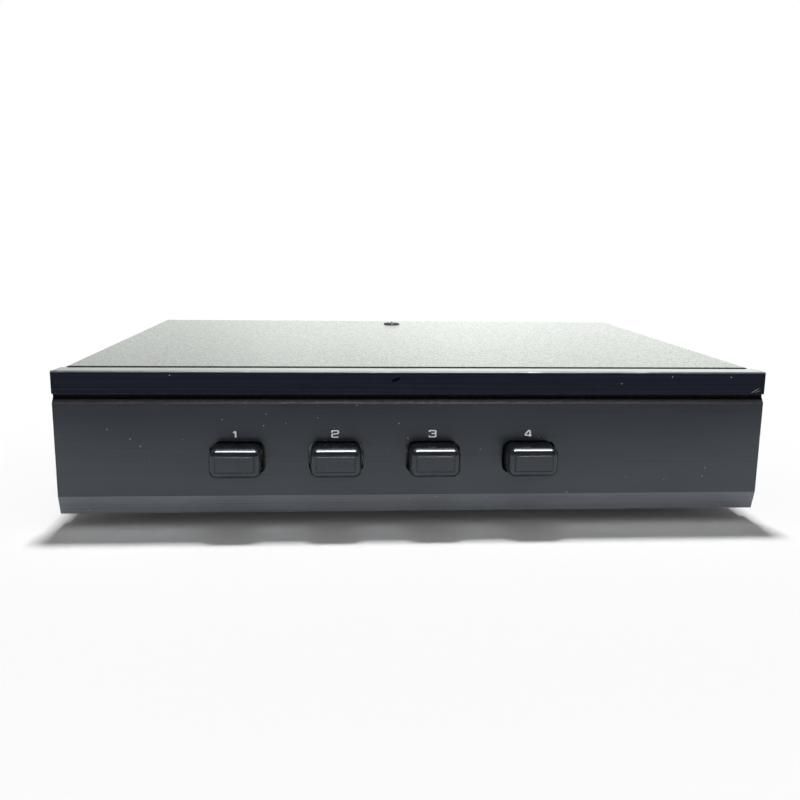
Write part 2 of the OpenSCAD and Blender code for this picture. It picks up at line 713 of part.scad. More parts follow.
module board_spacers() color([0.8, 0.68, 0.35]) placed() for (x = spacer_xs, y = spacer_ys)
    translate([x, y, floor_z1]) difference() {
        cylinder(r = spacer_r / cos(30), h = board_z0 - floor_z1, $fn = 6);
        translate([0, 0, -cut]) cylinder(r = screw_r + screw_fit, h = board_z0 - floor_z1 + 2 * cut);
    }

module spacer_screws() color("silver") placed() for (x = spacer_xs, y = spacer_ys)
    translate([x, y, floor_z0]) rotate([180, 0, 0]) small_screw(sheet_t + spacer_grip);

module board_screws() color("silver") placed() for (x = spacer_xs, y = spacer_ys)
    translate([x, y, board_z1]) small_screw(board_t + spacer_grip);

resistor_y0 = board_y0 + resistor_y;
resistor_lead_ys = [resistor_y0 - lead_run, resistor_y0 + resistor_l + lead_run];

module power_resistors() color([0.9, 0.88, 0.82]) placed() for (x = resistor_xs) translate([x, 0, board_z1]) {
    half = resistor_lead / 2;
    top = resistor_h / 2 + half;
    box([-resistor_w / 2, resistor_y0, 0], [resistor_w / 2, resistor_y0 + resistor_l, resistor_h]);
    box([-half, resistor_lead_ys[0] - half, top - resistor_lead], [half, resistor_lead_ys[1] + half, top]);
    for (y = resistor_lead_ys) box([-half, y - half, -board_t - lead_out], [half, y + half, top]);
}

module board_headers() color([0.92, 0.9, 0.84]) placed() for (x = block_xs) translate([x, 0, board_z1])
    box([-header_w / 2, header_y1 - header_d, 0], [header_w / 2, header_y1, header_h]);

// Where the contacts' tags end
tag_y = rear_y1 + contact_back - strip_t / 2 - tag_l;

// A wire's centre line: an S from a contact's tag to its place in the header
function wire_point(from, to, t) = [
    from[0] + (to[0] - from[0]) * t * t * (3 - 2 * t),
    from[1] + (to[1] - from[1]) * t,
    from[2] + (to[2] - from[2]) * t * t * (3 - 2 * t)];

module internal_wires() color([0.7, 0.15, 0.12]) placed()
    for (x = block_xs, column = [0, 1], row = [0, 1]) {
        from = [x + cell_x(column), tag_y, block_z + cell_z(row) + strip_low];
        place = column == 0 ? 1.5 - row : -1.5 + row;
        to = [x + place * header_pitch, header_y1, wire_z];
        tube([for (i = [0 : 11]) ring(wire_point(from, to, i / 11), [0, 0, 1], [1, 0, 0], wire_r, 8)]);
    }

// ---------------------------------------------------------------- terminals

// Places of a terminal in its block: column 0 is the left one seen from behind
function cell_x(column) = (0.5 - column) * cell_pitch_x;
function cell_z(row) = (0.5 - row) * cell_pitch_z;

// Moves a shape from a terminal's middle to its place on the rear wall
module at_cell(block, column, row)
    translate([block_xs[block] + cell_x(column), rear_y1, block_z + cell_z(row)]) children();

module block(n) color([0.07, 0.07, 0.08]) placed() difference() {
    translate([block_xs[n], rear_y1, block_z]) union() {
        along_y(0, block_t) round_rect(block_w, block_h, block_r);
        box([-body_w / 2, -body_d, -body_h / 2], [body_w / 2, cut, body_h / 2]);
    }
    for (column = [0, 1], row = [0, 1]) at_cell(n, column, row) cell_hollow();
    for (side = [-1, 1]) translate([block_xs[n], rear_y1, block_z])
        rod_y(0, side * block_screw_z, block_screw_r + screw_fit, -cut, block_t + cut);
}

// What a terminal takes out of its block: pocket, contact chamber, wire slot, trunnion grooves
module cell_hollow() {
    groove_x = pocket_w / 2 + trunnion_l + lever_fit;
    groove_r = trunnion_r + trunnion_fit;
    box([-pocket_w / 2, chamber_v, pocket_floor], [pocket_w / 2, block_t + cut, pocket_top]);
    box([-pocket_w / 2, -body_d - cut, chamber_floor], [pocket_w / 2, chamber_v, pocket_top]);
    wire_slot(0, chamber_v - cut);
    wire_slot(mouth_step, block_t - mouth_step);
    along_x(-groove_x, groove_x) translate([pivot_v, pivot_w]) {
        circle(groove_r);
        translate([-body_d, -groove_r]) square([body_d, 2 * groove_r]);
    }
}

// A wire slot from depth v0 outwards, wider by step on every side
module wire_slot(step, v0) {
    half = [slot_w / 2 + step, slot_h / 2 + step];
    box([-half[0], v0, -slot_drop - half[1]], [half[0], block_t + cut, -slot_drop + half[1]]);
}

// A lever from the side, v outwards and w upwards from its pivot
module lever_tab() {
    rise = tip_run * tan(lever_rise);
    polygon([[0, -tab_half], [tip_run - tip_t, rise - tip_t * tan(lever_rise) - tab_half],
        [tip_run - tip_t, rise - tab_half - tip_lip], [tip_run, rise - tab_half - tip_lip],
        [tip_run, rise + tab_half], [0, tab_half]]);
    circle(hub_r);
    for (k = [0 : 2]) let (v = tip_run - rib_inset - k * rib_pitch)
        translate([v, v * tan(lever_rise) + tab_half]) circle(rib_r);
}

module lever_toe() rotate(180 + toe_slope) {
    translate([0, -toe_t / 2]) square([toe_l, toe_t]);
    translate([toe_l, 0]) circle(toe_t / 2);
}

module lever(block, column, row) color(row == 0 ? [0.75, 0.08, 0.07] : [0.1, 0.1, 0.1]) placed()
    at_cell(block, column, row) translate([0, pivot_v, pivot_w]) {
        toe_x = lever_w / 2 - toe_inset;
        trunnion_x = pocket_w / 2 + trunnion_l;
        along_x(-lever_w / 2, lever_w / 2) lever_tab();
        along_x(toe_x - toe_w, toe_x) lever_toe();
        along_x(-toe_x, -toe_x + toe_w) lever_toe();
        along_x(-trunnion_x, trunnion_x) circle(trunnion_r);
    }

// A contact from the side: floor strip, upright, top strip that the lever's toes lift
module contact_strip() {
    stroke([hook_v, strip_low], [contact_back, strip_low]);
    stroke([contact_back, strip_low], [contact_back, contact_top]);
    stroke([contact_back, contact_top], [hook_v, contact_top]);
}

// A straight strip with round ends between two points that share a height or a depth
module stroke(from, to) {
    low = [min(from[0], to[0]), min(from[1], to[1])] - [strip_t, strip_t] / 2;
    high = [max(from[0], to[0]), max(from[1], to[1])] + [strip_t, strip_t] / 2;
    translate(low) square(high - low);
}

module terminal_contacts() color([0.85, 0.75, 0.4]) placed()
    for (block = [0 : 4], column = [0, 1], row = [0, 1]) at_cell(block, column, row) {
        along_x(-contact_w / 2, contact_w / 2) contact_strip();
        along_x(-hook_w / 2, hook_w / 2) {
            stroke([hook_v, strip_low + hook_gap], [hook_v, contact_top]);
            stroke([contact_back - tag_l, strip_low], [contact_back, strip_low]);
        }
    }

module terminal_screws() color([0.75, 0.75, 0.76]) placed() for (x = block_xs, side = [-1, 1])
    translate([x, rear_y1 + block_t, block_z + side * block_screw_z]) facing_back()
        screw(block_screw_r, block_head_r, screw_head_h, block_t + sheet_t + block_screw_reach);

// ---------------------------------------------------------------- nodes

front_panel();
top_cover();
chassis();
feet();
foot_screws();
cover_screws();
panel_screws();
switch_rail();
rail_screws();
circuit_board();
board_spacers();
spacer_screws();
board_screws();
switch_pins();
power_resistors();
board_headers();
internal_wires();
terminal_contacts();
terminal_screws();
for (n = BUTTONS) {
    button(n - 1);
    plunger(n - 1);
    return_spring(n - 1);
    switch_body(n - 1);
}
for (n = [0 : 4]) {
    block(n);
    for (column = [0, 1], row = [0, 1])
        lever(n, column, row);
}
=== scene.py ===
"""Looks of a speaker selector switch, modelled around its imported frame.

Every piece is in metres, in the frame's own coordinates: +Z is up, the buttons face -Y
and the wire terminals face +Y.
"""
import math
from contextlib import contextmanager

import bpy
from bpy.props import FloatProperty, FloatVectorProperty, IntProperty, PointerProperty
from mathutils import Matrix, Vector


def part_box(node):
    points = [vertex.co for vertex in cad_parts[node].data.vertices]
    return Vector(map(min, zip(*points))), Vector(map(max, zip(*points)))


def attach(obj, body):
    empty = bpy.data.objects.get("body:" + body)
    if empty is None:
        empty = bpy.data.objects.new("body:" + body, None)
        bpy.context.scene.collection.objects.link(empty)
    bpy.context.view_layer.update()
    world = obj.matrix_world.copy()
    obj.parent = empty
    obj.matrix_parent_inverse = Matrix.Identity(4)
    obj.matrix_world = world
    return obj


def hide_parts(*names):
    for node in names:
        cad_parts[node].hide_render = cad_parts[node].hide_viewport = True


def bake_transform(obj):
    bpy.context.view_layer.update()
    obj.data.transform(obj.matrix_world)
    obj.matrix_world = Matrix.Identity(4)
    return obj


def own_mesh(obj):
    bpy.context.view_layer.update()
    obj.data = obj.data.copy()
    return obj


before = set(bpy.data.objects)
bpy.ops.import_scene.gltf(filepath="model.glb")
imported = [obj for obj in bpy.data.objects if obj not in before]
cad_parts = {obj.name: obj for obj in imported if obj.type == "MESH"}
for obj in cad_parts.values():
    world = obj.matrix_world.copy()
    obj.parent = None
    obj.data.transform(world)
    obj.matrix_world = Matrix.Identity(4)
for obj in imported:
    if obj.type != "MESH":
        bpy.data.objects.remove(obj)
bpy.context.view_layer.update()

bl_info = {
    "name": "Speaker selector switch",
    "version": (1, 0, 0),
    "blender": (4, 5, 0),
    "location": "3D View > Sidebar > Selector",
    "description": "Models a low speaker selector with push buttons and lever terminals",
    "category": "Add Mesh",
}

MM = 0.001
HAIR = MM / 100                         # two places closer than this are taken as one
NUMBERS = (1, 2, 3, 4)
BLOCKS = ("input", "output_1", "output_2", "output_3", "output_4")
CHANNELS = ("left", "right")
COLOURS = ("red", "black")

SHANK, SMALL_SHANK = 1.45 * MM, 1.2 * MM              # radii of the screws' shanks
HEAD, SMALL_HEAD, COVER_HEAD = 2.8 * MM, 2.4 * MM, 4.3 * MM     # radii of their heads
HEAD_TALL, COVER_HEAD_TALL = 1.4 * MM, 0.95 * MM      # heights of their heads
SCREW_BORE, SMALL_BORE = 1.55 * MM, 1.3 * MM          # radii of the holes for them
COVER_SCREW_LONG = 5 * MM                             # length of the cover's screws

PANEL_LOW, PANEL_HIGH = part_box("front_panel")
COVER_LOW, COVER_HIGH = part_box("top_cover")
REAR_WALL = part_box("chassis")[1].y


def middle(node):
    """The middle of a CAD node's box."""
    low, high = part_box(node)
    return (low + high) / 2


def ends(low, high, inset):
    """Two places, each in from one end of a span."""
    return (low + inset, high - inset)


def terminals():
    """Every wire terminal: the name of its lever, its block, its column and its row."""
    for block in BLOCKS:
        for column, channel in enumerate(CHANNELS):
            for row, tint in enumerate(COLOURS):
                yield f"{block}_lever_{channel}_{tint}", block, column, row


# ---------------------------------------------------------------- modelling by hand

def start():
    """Deselects everything, so that the next primitive stands alone."""
    if bpy.context.mode != "OBJECT":
        bpy.ops.object.mode_set(mode="OBJECT")
    bpy.ops.object.select_all(action="DESELECT")


def only(piece):
    """Selects one piece and nothing else."""
    start()
    piece.select_set(True)
    bpy.context.view_layer.objects.active = piece


@contextmanager
def editing(piece):
    """Edit mode on one piece, for as long as the block runs."""
    only(piece)
    bpy.ops.object.mode_set(mode="EDIT")
    yield
    bpy.ops.object.mode_set(mode="OBJECT")


def face_outwards():
    """Turns every face of the mesh in edit mode outwards."""
    bpy.ops.mesh.select_all(action="SELECT")
    bpy.ops.mesh.normals_make_consistent(inside=False)


def extrude(move):
    """Extrudes what is selected in edit mode by a vector."""
    bpy.ops.mesh.extrude_region_move(TRANSFORM_OT_translate={"value": move})


def named(name):
    """Names the primitive that was just added."""
    piece = bpy.context.object
    piece.name = piece.data.name = name
    return piece


def settle(piece):
    """Moves a piece's place, turn and scale into its mesh."""
    only(piece)
    bpy.ops.object.transform_apply(location=True, rotation=True, scale=True)
    return piece


def apply_step(piece, kind, **settings):
    """Adds one modifier with its settings and applies it."""
    step = piece.modifiers.new(kind.lower(), kind)
    for key, value in settings.items():
        setattr(step, key, value)
    only(piece)
    bpy.ops.object.modifier_apply(modifier=step.name)
    return piece


def slab(name, low, high):
    """A block between two corners."""
    start()
    low, high = Vector(low), Vector(high)
    bpy.ops.mesh.primitive_cube_add(size=1, location=(low + high) / 2)
    piece = named(name)
    piece.scale = high - low
    return settle(piece)


def turn_to(direction):
    """The turn that points the Z axis along a direction."""
    return Vector(direction).to_track_quat("Z", "Y").to_euler()


def rod(name, a, b, radius, sides=40):
    """A round bar between two points."""
    start()
    a, b = Vector(a), Vector(b)
    bpy.ops.mesh.primitive_cylinder_add(vertices=sides, radius=radius, depth=(b - a).length,
                                        location=(a + b) / 2, rotation=turn_to(b - a))
    return settle(named(name))


def pushed_outline(name, points, push):
    """A flat outline through 3-D points, extruded by a vector into a closed solid."""
    start()
    bpy.ops.mesh.primitive_circle_add(vertices=len(points), fill_type="NGON")
    piece = named(name)
    for vertex, point in zip(piece.data.vertices, points):
        vertex.co = point
    with editing(piece):
        bpy.ops.mesh.select_all(action="SELECT")
        extrude(Vector(push))
        face_outwards()
    return piece


def arc(centre, radius, first, last, steps):
    """Points of an arc in a plane, both ends included, angles in degrees."""
    angles = [math.radians(first + (last - first) * k / steps) for k in range(steps + 1)]
    return [(centre[0] + radius * math.cos(a), centre[1] + radius * math.sin(a)) for a in angles]


def round_rectangle(width, height, radius, steps=6):
    """The outline of a rectangle with round corners, centred."""
    x, z = width / 2 - radius, height / 2 - radius
    corners = [((x, z), 0), ((-x, z), 90), ((-x, -z), 180), ((x, -z), 270)]
    return [p for c, a in corners for p in arc(c, radius, a, a + 90, steps)]


def turned(name, profile, sides, closed=False):
    """A part turned round the Z axis: a ring extruded and resized along a profile of (radius, height)."""
    start()
    bpy.ops.mesh.primitive_circle_add(vertices=sides, radius=profile[0][0], location=(0, 0, profile[0][1]),
                                      fill_type="NOTHING" if closed else "NGON")
    piece = settle(named(name))
    stops = profile[1:] + profile[:1] if closed else profile[1:]
    pull = bpy.ops.mesh.extrude_edges_move if closed else bpy.ops.mesh.extrude_region_move
    with editing(piece):
        bpy.ops.mesh.select_all(action="SELECT")
        for (radius, height), (next_radius, next_height) in zip(profile, stops):
            pull(TRANSFORM_OT_translate={"value": (0, 0, next_height - height)})
            share = next_radius / radius
            bpy.ops.transform.resize(value=(share, share, 1), center_override=(0, 0, next_height))
        bpy.ops.mesh.select_all(action="SELECT")
        bpy.ops.mesh.remove_doubles(threshold=MM / 1000)
        face_outwards()
    return piece


def carve(piece, *tools, union=False):
    """Cuts tools out of a piece, or melts them into it."""
    for tool in tools:
        operation = "UNION" if union else "DIFFERENCE"
        apply_step(piece, "BOOLEAN", operation=operation, solver="EXACT", object=tool)
        bpy.data.objects.remove(tool)
    return piece


def pick(piece, kind, test):
    """Selects the edges or faces of a piece that pass a test, and nothing else of its mesh."""
    with editing(piece):
        bpy.ops.mesh.select_mode(type=kind)
        bpy.ops.mesh.select_all(action="DESELECT")
    for part in piece.data.edges if kind == "EDGE" else piece.data.polygons:
        part.select = bool(test(part))


def bevel_where(piece, test, width, steps):
    """Bevels the edges whose two ends pass a test."""
    pick(piece, "EDGE", lambda edge: test(*(piece.data.vertices[i].co for i in edge.vertices)))
    with editing(piece):
        bpy.ops.mesh.bevel(offset=width, segments=steps, profile=0.5, affect="EDGES")
    return piece


def soften(piece, width, steps=2, angle=35):
    """Rounds every sharp edge of a piece a little."""
    return apply_step(piece, "BEVEL", width=width, segments=steps, limit_method="ANGLE",
                      angle_limit=math.radians(angle), use_clamp_overlap=True)


def even_shading(piece, angle=40):
    """Smooth shading over the rounded edges, flat over the flats."""
    only(piece)
    bpy.ops.object.shade_smooth_by_angle(angle=math.radians(angle))
    return apply_step(piece, "WEIGHTED_NORMAL", keep_sharp=True)


def drawn(name, lines, radius, roundness):
    """Round strokes along lines of points, as one mesh."""
    start()
    curve = bpy.data.curves.new(name, "CURVE")
    curve.dimensions = "3D"
    curve.bevel_depth = radius
    curve.bevel_resolution = roundness
    curve.use_fill_caps = True
    for line in lines:
        spline = curve.splines.new("POLY")
        spline.points.add(len(line) - 1)
        for point, place in zip(spline.points, line):
            point.co = (*place, 1)
    strokes = bpy.data.objects.new(name, curve)
    bpy.context.scene.collection.objects.link(strokes)
    only(strokes)
    bpy.ops.object.convert(target="MESH")
    return named(name)


def joined(name, pieces):
    """Several pieces as one mesh."""
    start()
    for piece in pieces:
        piece.select_set(True)
    bpy.context.view_layer.objects.active = pieces[0]
    bpy.ops.object.join()
    return named(name)


def copies(master, places):
    """A copy for each (name, shift) or (name, shift, direction), with its own mesh; the master goes."""
    made = []
    for name, shift, *direction in places:
        only(master)
        bpy.ops.object.duplicate(linked=False)
        copy = named(name)
        if direction:
            copy.rotation_euler = turn_to(*direction)
        copy.location = shift
        made.append(settle(copy))
    bpy.data.objects.remove(master)
    return made


def dress(piece, finishes, body, slot, *nodes):
    """Gives a piece its finishes and its body, and hides the CAD nodes that it stands for."""
    finishes = finishes if isinstance(finishes, list) else [finishes]
    kinds = [face.material_index for face in piece.data.polygons]
    piece.data.materials.clear()
    for finish in finishes:
        piece.data.materials.append(finish)
    if len(finishes) > 1:
        for face, kind in zip(piece.data.polygons, kinds):
            face.material_index = kind
    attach(piece, body)
    if nodes:
        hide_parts(*nodes)
    return piece


def repaint(nodes, finish):
    """Gives CAD nodes whose shape stays a better material."""
    for name in nodes:
        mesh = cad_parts[name].data
        mesh.materials.clear()
        mesh.materials.append(finish)


STROKES = {
    1: [[(-0.92, 0.68), (-0.2, 1.0), (-0.2, 0.0)]],
    2: [[(-1.0, 0.7), (-1.0, 1.0), (1.0, 1.0), (1.0, 0.56), (-1.0, 0.46), (-1.0, 0.0), (1.0, 0.0)]],
    3: [[(-1.0, 0.78), (-1.0, 1.0), (1.0, 1.0), (1.0, 0.53), (-0.3, 0.53)],
        [(0.6, 0.53), (1.0, 0.53), (1.0, 0.0), (-1.0, 0.0), (-1.0, 0.22)]],
    4: [[(0.5, 0.0), (0.5, 1.0), (0.1, 1.0), (-1.0, 0.36), (-1.0, 0.22), (1.0, 0.22)]],
}


def rounded_path(points, reach=0.24):
    """A broken line with each inner corner turned into a short curve."""
    path = [points[0]]
    for before, corner, after in zip(points, points[1:], points[2:]):
        before, corner, after = Vector(before), Vector(corner), Vector(after)
        a = corner + (before - corner) * min(0.5, reach / (before - corner).length)
        b = corner + (after - corner) * min(0.5, reach / (after - corner).length)
        path += [a, a * 0.25 + corner * 0.5 + b * 0.25, b]
    return path + [points[-1]]


INK_DEPTH = 0.03 * MM                   # how thick the ink lies
STRETCH = 1.4                           # how much wider an upright stroke is than a level one


def digit(number, height, half_width, stroke, centre, towards):
    """A plain number printed on an upright wall: centre is its middle, towards is -1 or 1 along Y."""
    lines = [[(-towards * x * half_width / STRETCH, 0, (z - 0.5) * height) for x, z in rounded_path(line)]
             for line in STROKES[number]]
    piece = drawn(f"digit_{number}", lines, stroke / 2, 2)
    piece.scale = (STRETCH, INK_DEPTH / stroke, 1)
    piece.location = centre
    return settle(piece)


# ---------------------------------------------------------------- finishes

class Nodes:
    """Short forms for adding the nodes of one tree."""

    def __init__(self, tree):
        self.tree = tree

    def give(self, socket, value):
        """Sets a socket to a value, or links another node's output to it."""
        if isinstance(value, bpy.types.NodeSocket):
            self.tree.links.new(value, socket)
        else:
            socket.default_value = value

    def node(self, kind, settings=(), **inputs):
        """A node with its settings: an input goes by its name, or by its number after a low line."""
        made = self.tree.nodes.new(kind)
        for key, value in dict(settings).items():
            setattr(made, key, value)
        for key, value in inputs.items():
            self.give(made.inputs[int(key[1:]) if key[0] == "_" else key], value)
        return made

    def band(self, value, low, high, start=0.0, end=1.0, kind="SMOOTHSTEP"):
        """A value turned into a step between two levels, smooth or LINEAR."""
        levels = {"Value": value, "From Min": low, "From Max": high, "To Min": start, "To Max": end}
        return self.node("ShaderNodeMapRange", {"interpolation_type": kind}, **levels).outputs["Result"]

    def math(self, operation, a, b):
        """One sum of two values."""
        return self.node("ShaderNodeMath", {"operation": operation}, _0=a, _1=b).outputs[0]

    def times(self, a, b):
        return self.math("MULTIPLY", a, b)

    def blend(self, share, first, second):
        """A colour between two colours."""
        first, second = (c if isinstance(c, bpy.types.NodeSocket) else (*c, 1.0) for c in (first, second))
        return self.node("ShaderNodeMix", {"data_type": "RGBA"}, _0=share, _6=first, _7=second).outputs[2]

    def mix(self, share, first, second):
        """A shader between two shaders."""
        return self.node("ShaderNodeMixShader", _0=share, _1=first.outputs[0], _2=second.outputs[0])


class Finish(Nodes):
    """One material, with its patterns in the piece's own coordinates."""

    def __init__(self, name, colour, roughness, metallic=0.0, ior=1.5):
        self.material = bpy.data.materials.new(name)
        self.material.use_nodes = True
        super().__init__(self.material.node_tree)
        self.shader = self.tree.nodes["Principled BSDF"]
        self.roughness = roughness
        self.feed("Base Color", (*colour, 1.0))
        self.feed("Roughness", roughness)
        self.feed("Metallic", metallic)
        self.feed("IOR", ior)
        self.place = self.node("ShaderNodeTexCoord").outputs["Object"]

    def feed(self, socket, value):
        """Sets or links one of the shader's own sockets."""
        self.give(self.shader.inputs[socket], value)

    def stretched(self, stretch, turn=(0, 0, 0)):
        """The place with each axis scaled, for a pattern with a direction."""
        made = self.node("ShaderNodeMapping", Vector=self.place, Scale=stretch, Rotation=turn)
        return made.outputs["Vector"]

    def noise(self, scale, detail=2.0, stretch=None, turn=(0, 0, 0)):
        where = self.stretched(stretch, turn) if stretch else self.place
        return self.node("ShaderNodeTexNoise", Vector=where, Scale=scale, Detail=detail).outputs["Fac"]

    def uneven_gloss(self, pattern, low, high, least, most):
        """Roughness that follows a pattern, between two shares of the finish's own."""
        self.feed("Roughness", self.band(pattern, low, high, self.roughness * least, self.roughness * most))

    def specks(self, spacing, size, share):
        """Small round marks: one in some of the cells of a loose grid."""
        cells = self.node("ShaderNodeTexVoronoi", Vector=self.place, Scale=1 / spacing)
        spot = self.band(cells.outputs["Distance"], size / spacing * 0.6, size / spacing, 1.0, 0.0)
        choice = self.node("ShaderNodeSeparateColor", Color=cells.outputs["Color"]).outputs[0]
        return self.times(spot, self.math("LESS_THAN", choice, share))

    def mark(self, place, long, wide, degrees):
        """One straight mark on an upright face: its middle, half its length and width, and its slope."""
        turn = (0, -math.radians(degrees), 0)
        where = self.node("ShaderNodeMapping", {"vector_type": "TEXTURE"}, Vector=self.place,
                          Location=place, Rotation=turn, Scale=(long, 1.0, wide)).outputs["Vector"]
        away = self.node("ShaderNodeVectorMath", {"operation": "LENGTH"}, _0=where).outputs["Value"]
        return self.band(away, 0.6, 1.0, 1.0, 0.0)

    def bump(self, height, distance, strength=1.0):
        made = self.node("ShaderNodeBump", Height=height, Distance=distance, Strength=strength)
        self.feed("Normal", made.outputs["Normal"])


def shaded(colour, share, lift=0.0):
    """A colour made darker or paler."""
    return tuple(min(1.0, c * share + lift) for c in colour)


def black_brushed(name, colour, roughness, line_depth, ior, marks=()):
    """Black anodised metal with fine brush lines along X, smudges, dust, long scuffs and single marks."""
    f = Finish(name, colour, roughness, ior=ior)
    f.feed("Specular Tint", (0.84, 0.92, 1.0, 1.0))
    lines = f.noise(1.0, 3.0, stretch=(10, 700, 4200))
    broad = f.noise(1.0, 2.0, stretch=(22, 90, 260))
    scuffs = f.band(f.noise(1.0, 1.0, stretch=(34, 500, 1500), turn=(0, 0.02, 0)), 0.7, 0.75)
    tone = f.blend(f.band(lines, 0.36, 0.74), colour, shaded(colour, 1.5, 0.002))
    tone = f.blend(f.times(scuffs, 0.5), tone, shaded(colour, 0.3))
    tone = f.blend(f.specks(3.6 * MM, 0.23 * MM, 0.4), tone, (0.4, 0.41, 0.43))
    tone = f.blend(f.specks(2.6 * MM, 0.08 * MM, 0.12), tone, (0.16, 0.17, 0.18))
    for place, long, wide, degrees, shade in marks:
        tone = f.blend(f.mark(place, long, wide, degrees), tone, (shade,) * 3)
    f.feed("Base Color", tone)
    rough = f.band(broad, 0.3, 0.7, roughness * 0.9, roughness * 1.12)
    f.feed("Roughness", f.math("ADD", rough, f.times(scuffs, 0.14)))
    f.bump(lines, line_depth, 0.4)
    return f.material


def worn_and_highlit_edge(name, colour, bare, roughness):
    """The rounded edges of black metal, rubbed down to bare metal in places, and paler than the panel's black
    all along as a painted highlight.
    """
    f = Finish(name, colour, roughness, ior=1.6)
    wear = f.band(f.noise(1.0, 3.0, stretch=(60, 300, 300)), 0.6, 0.78)
    f.feed("Base Color", f.blend(wear, colour, bare))
    f.feed("Metallic", f.times(wear, 0.4))
    f.uneven_gloss(f.noise(900), 0.3, 0.7, 0.85, 1.2)
    return f.material


def hollows_painted_shade(name, colour):
    """Near-black painted shade for the groove and the walls of the button holes, darker than the panel's
    black, with a little dust lying in it.
    """
    f = Finish(name, colour, 0.7, ior=1.25)
    f.feed("Base Color", f.blend(f.specks(5 * MM, 0.12 * MM, 0.25), colour, (0.2, 0.2, 0.21)))
    f.feed("Roughness", f.band(f.noise(700), 0.3, 0.7, 0.62, 0.8))
    return f.material


def textured_paint(name, colour, roughness):
    """Sprayed paint with a fine pebbled texture."""
    f = Finish(name, colour, roughness, ior=1.6)
    pebbles = f.noise(1500)
    fleck = f.band(f.noise(2300, 1.0), 0.54, 0.68)
    drift = f.band(f.noise(14, 1.0), 0.3, 0.7)
    tone = f.blend(drift, shaded(colour, 0.9), shaded(colour, 1.12))
    tone = f.blend(f.times(fleck, 0.4), tone, shaded(colour, 3, 0.05))
    f.feed("Base Color", f.blend(f.specks(4 * MM, 0.24 * MM, 0.3), tone, (0.45, 0.45, 0.43)))
    f.uneven_gloss(pebbles, 0.3, 0.7, 0.8, 1.2)
    f.bump(pebbles, 0.016 * MM, 0.35)
    return f.material


def moulded_plastic(name, colour, roughness, grain=0.02, wear=0.0):
    """Moulded plastic: a faint grain, uneven gloss, and paler where it is rubbed."""
    f = Finish(name, colour, roughness)
    patches = f.noise(160, 3.0)
    tone = f.blend(f.band(patches, 0.35, 0.75), colour, shaded(colour, 1.35, 0.012))
    f.feed("Base Color", f.blend(f.specks(4 * MM, 0.09 * MM, 0.2 + wear), tone, shaded(colour, 1, 0.18)))
    f.uneven_gloss(patches, 0.25, 0.75, 0.82, 1.2)
    f.bump(f.noise(3800), grain * MM, 0.5)
    return f.material


def glossy_black_painted_glints(name, colour, roughness):
    """Glossy black plastic of the buttons, with painted glints of reflected light, mostly on faces turned up,
    and a little dust.
    """
    f = Finish(name, colour, roughness, ior=1.55)
    f.feed("Specular Tint", (0.88, 0.94, 1.0, 1.0))
    normal = f.node("ShaderNodeNewGeometry").outputs["Normal"]
    up = f.node("ShaderNodeSeparateXYZ", Vector=normal).outputs["Z"]
    # painted highlight: pale glints of reflected light, strongest where the face turns up
    top = f.band(up, 0.55, 0.95, 0.12, 1.0)
    painted_glints = f.band(f.noise(2100), 0.58, 0.7)
    tone = f.blend(f.times(f.times(painted_glints, top), 0.5), colour, (0.34, 0.36, 0.39))
    f.feed("Base Color", f.blend(f.specks(3 * MM, 0.1 * MM, 0.3), tone, (0.3, 0.31, 0.33)))
    f.uneven_gloss(f.noise(220, 3.0), 0.25, 0.75, 0.85, 1.2)
    f.bump(f.noise(2600), 0.02 * MM, 0.3)
    return f.material


def plated_steel(name, colour, roughness):
    """Zinc plated sheet: brushed grain, cloudy patches, small dull spots."""
    f = Finish(name, colour, roughness, metallic=1.0)
    grain = f.noise(1.0, 3.0, stretch=(40, 900, 900))
    warm = (colour[0] * 0.86, colour[1] * 0.83, colour[2] * 0.74)
    tone = f.blend(f.band(f.noise(45, 3.0), 0.35, 0.75), colour, warm)
    f.feed("Base Color", f.blend(f.specks(3 * MM, 0.15 * MM, 0.2), tone, shaded(colour, 0.5)))
    f.uneven_gloss(grain, 0.3, 0.7, 0.8, 1.3)
    f.bump(grain, 0.01 * MM, 0.35)
    return f.material


def bright_metal(name, colour, roughness):
    """Turned or drawn metal with fine marks and slight tarnish."""
    f = Finish(name, colour, roughness, metallic=1.0)
    marks = f.noise(2600, 3.0)
    f.feed("Base Color", f.blend(f.band(f.noise(420), 0.45, 0.8), colour, shaded(colour, 0.62)))
    f.uneven_gloss(marks, 0.3, 0.7, 0.75, 1.35)
    f.bump(marks, 0.008 * MM, 0.3)
    return f.material


def soft_rubber(name, colour):
    """Dull black rubber with a bloom and fine pores."""
    f = Finish(name, colour, 0.75)
    bloom = f.noise(260, 3.0)
    f.feed("Base Color", f.blend(f.band(bloom, 0.45, 0.8), colour, shaded(colour, 1.8, 0.02)))
    f.feed("Roughness", f.band(bloom, 0.3, 0.7, 0.66, 0.86))
    f.bump(f.noise(2200, 3.0), 0.04 * MM, 0.5)
    return f.material


def board_lacquer(name, colour):
    """Green solder lacquer over copper tracks: the tracks stand out a little paler."""
    f = Finish(name, colour, 0.32)
    greys = {"Color1": (0, 0, 0, 1), "Color2": (0.25, 0.25, 0.25, 1), "Mortar": (1, 1, 1, 1)}
    sizes = {"Mortar Size": 0.45 * MM, "Brick Width": 14 * MM, "Row Height": 4.2 * MM}
    tracks = f.node("ShaderNodeTexBrick", Vector=f.place, Scale=1.0, **greys, **sizes)
    copper = f.band(tracks.outputs["Fac"], 0.3, 0.7)
    tone = f.blend(f.times(copper, 0.6), colour, shaded(colour, 1.8, 0.01))
    f.feed("Base Color", f.blend(f.band(f.noise(90, 3.0), 0.4, 0.8), tone, shaded(colour, 0.75)))
    f.bump(copper, 0.03 * MM, 0.6)
    return f.material


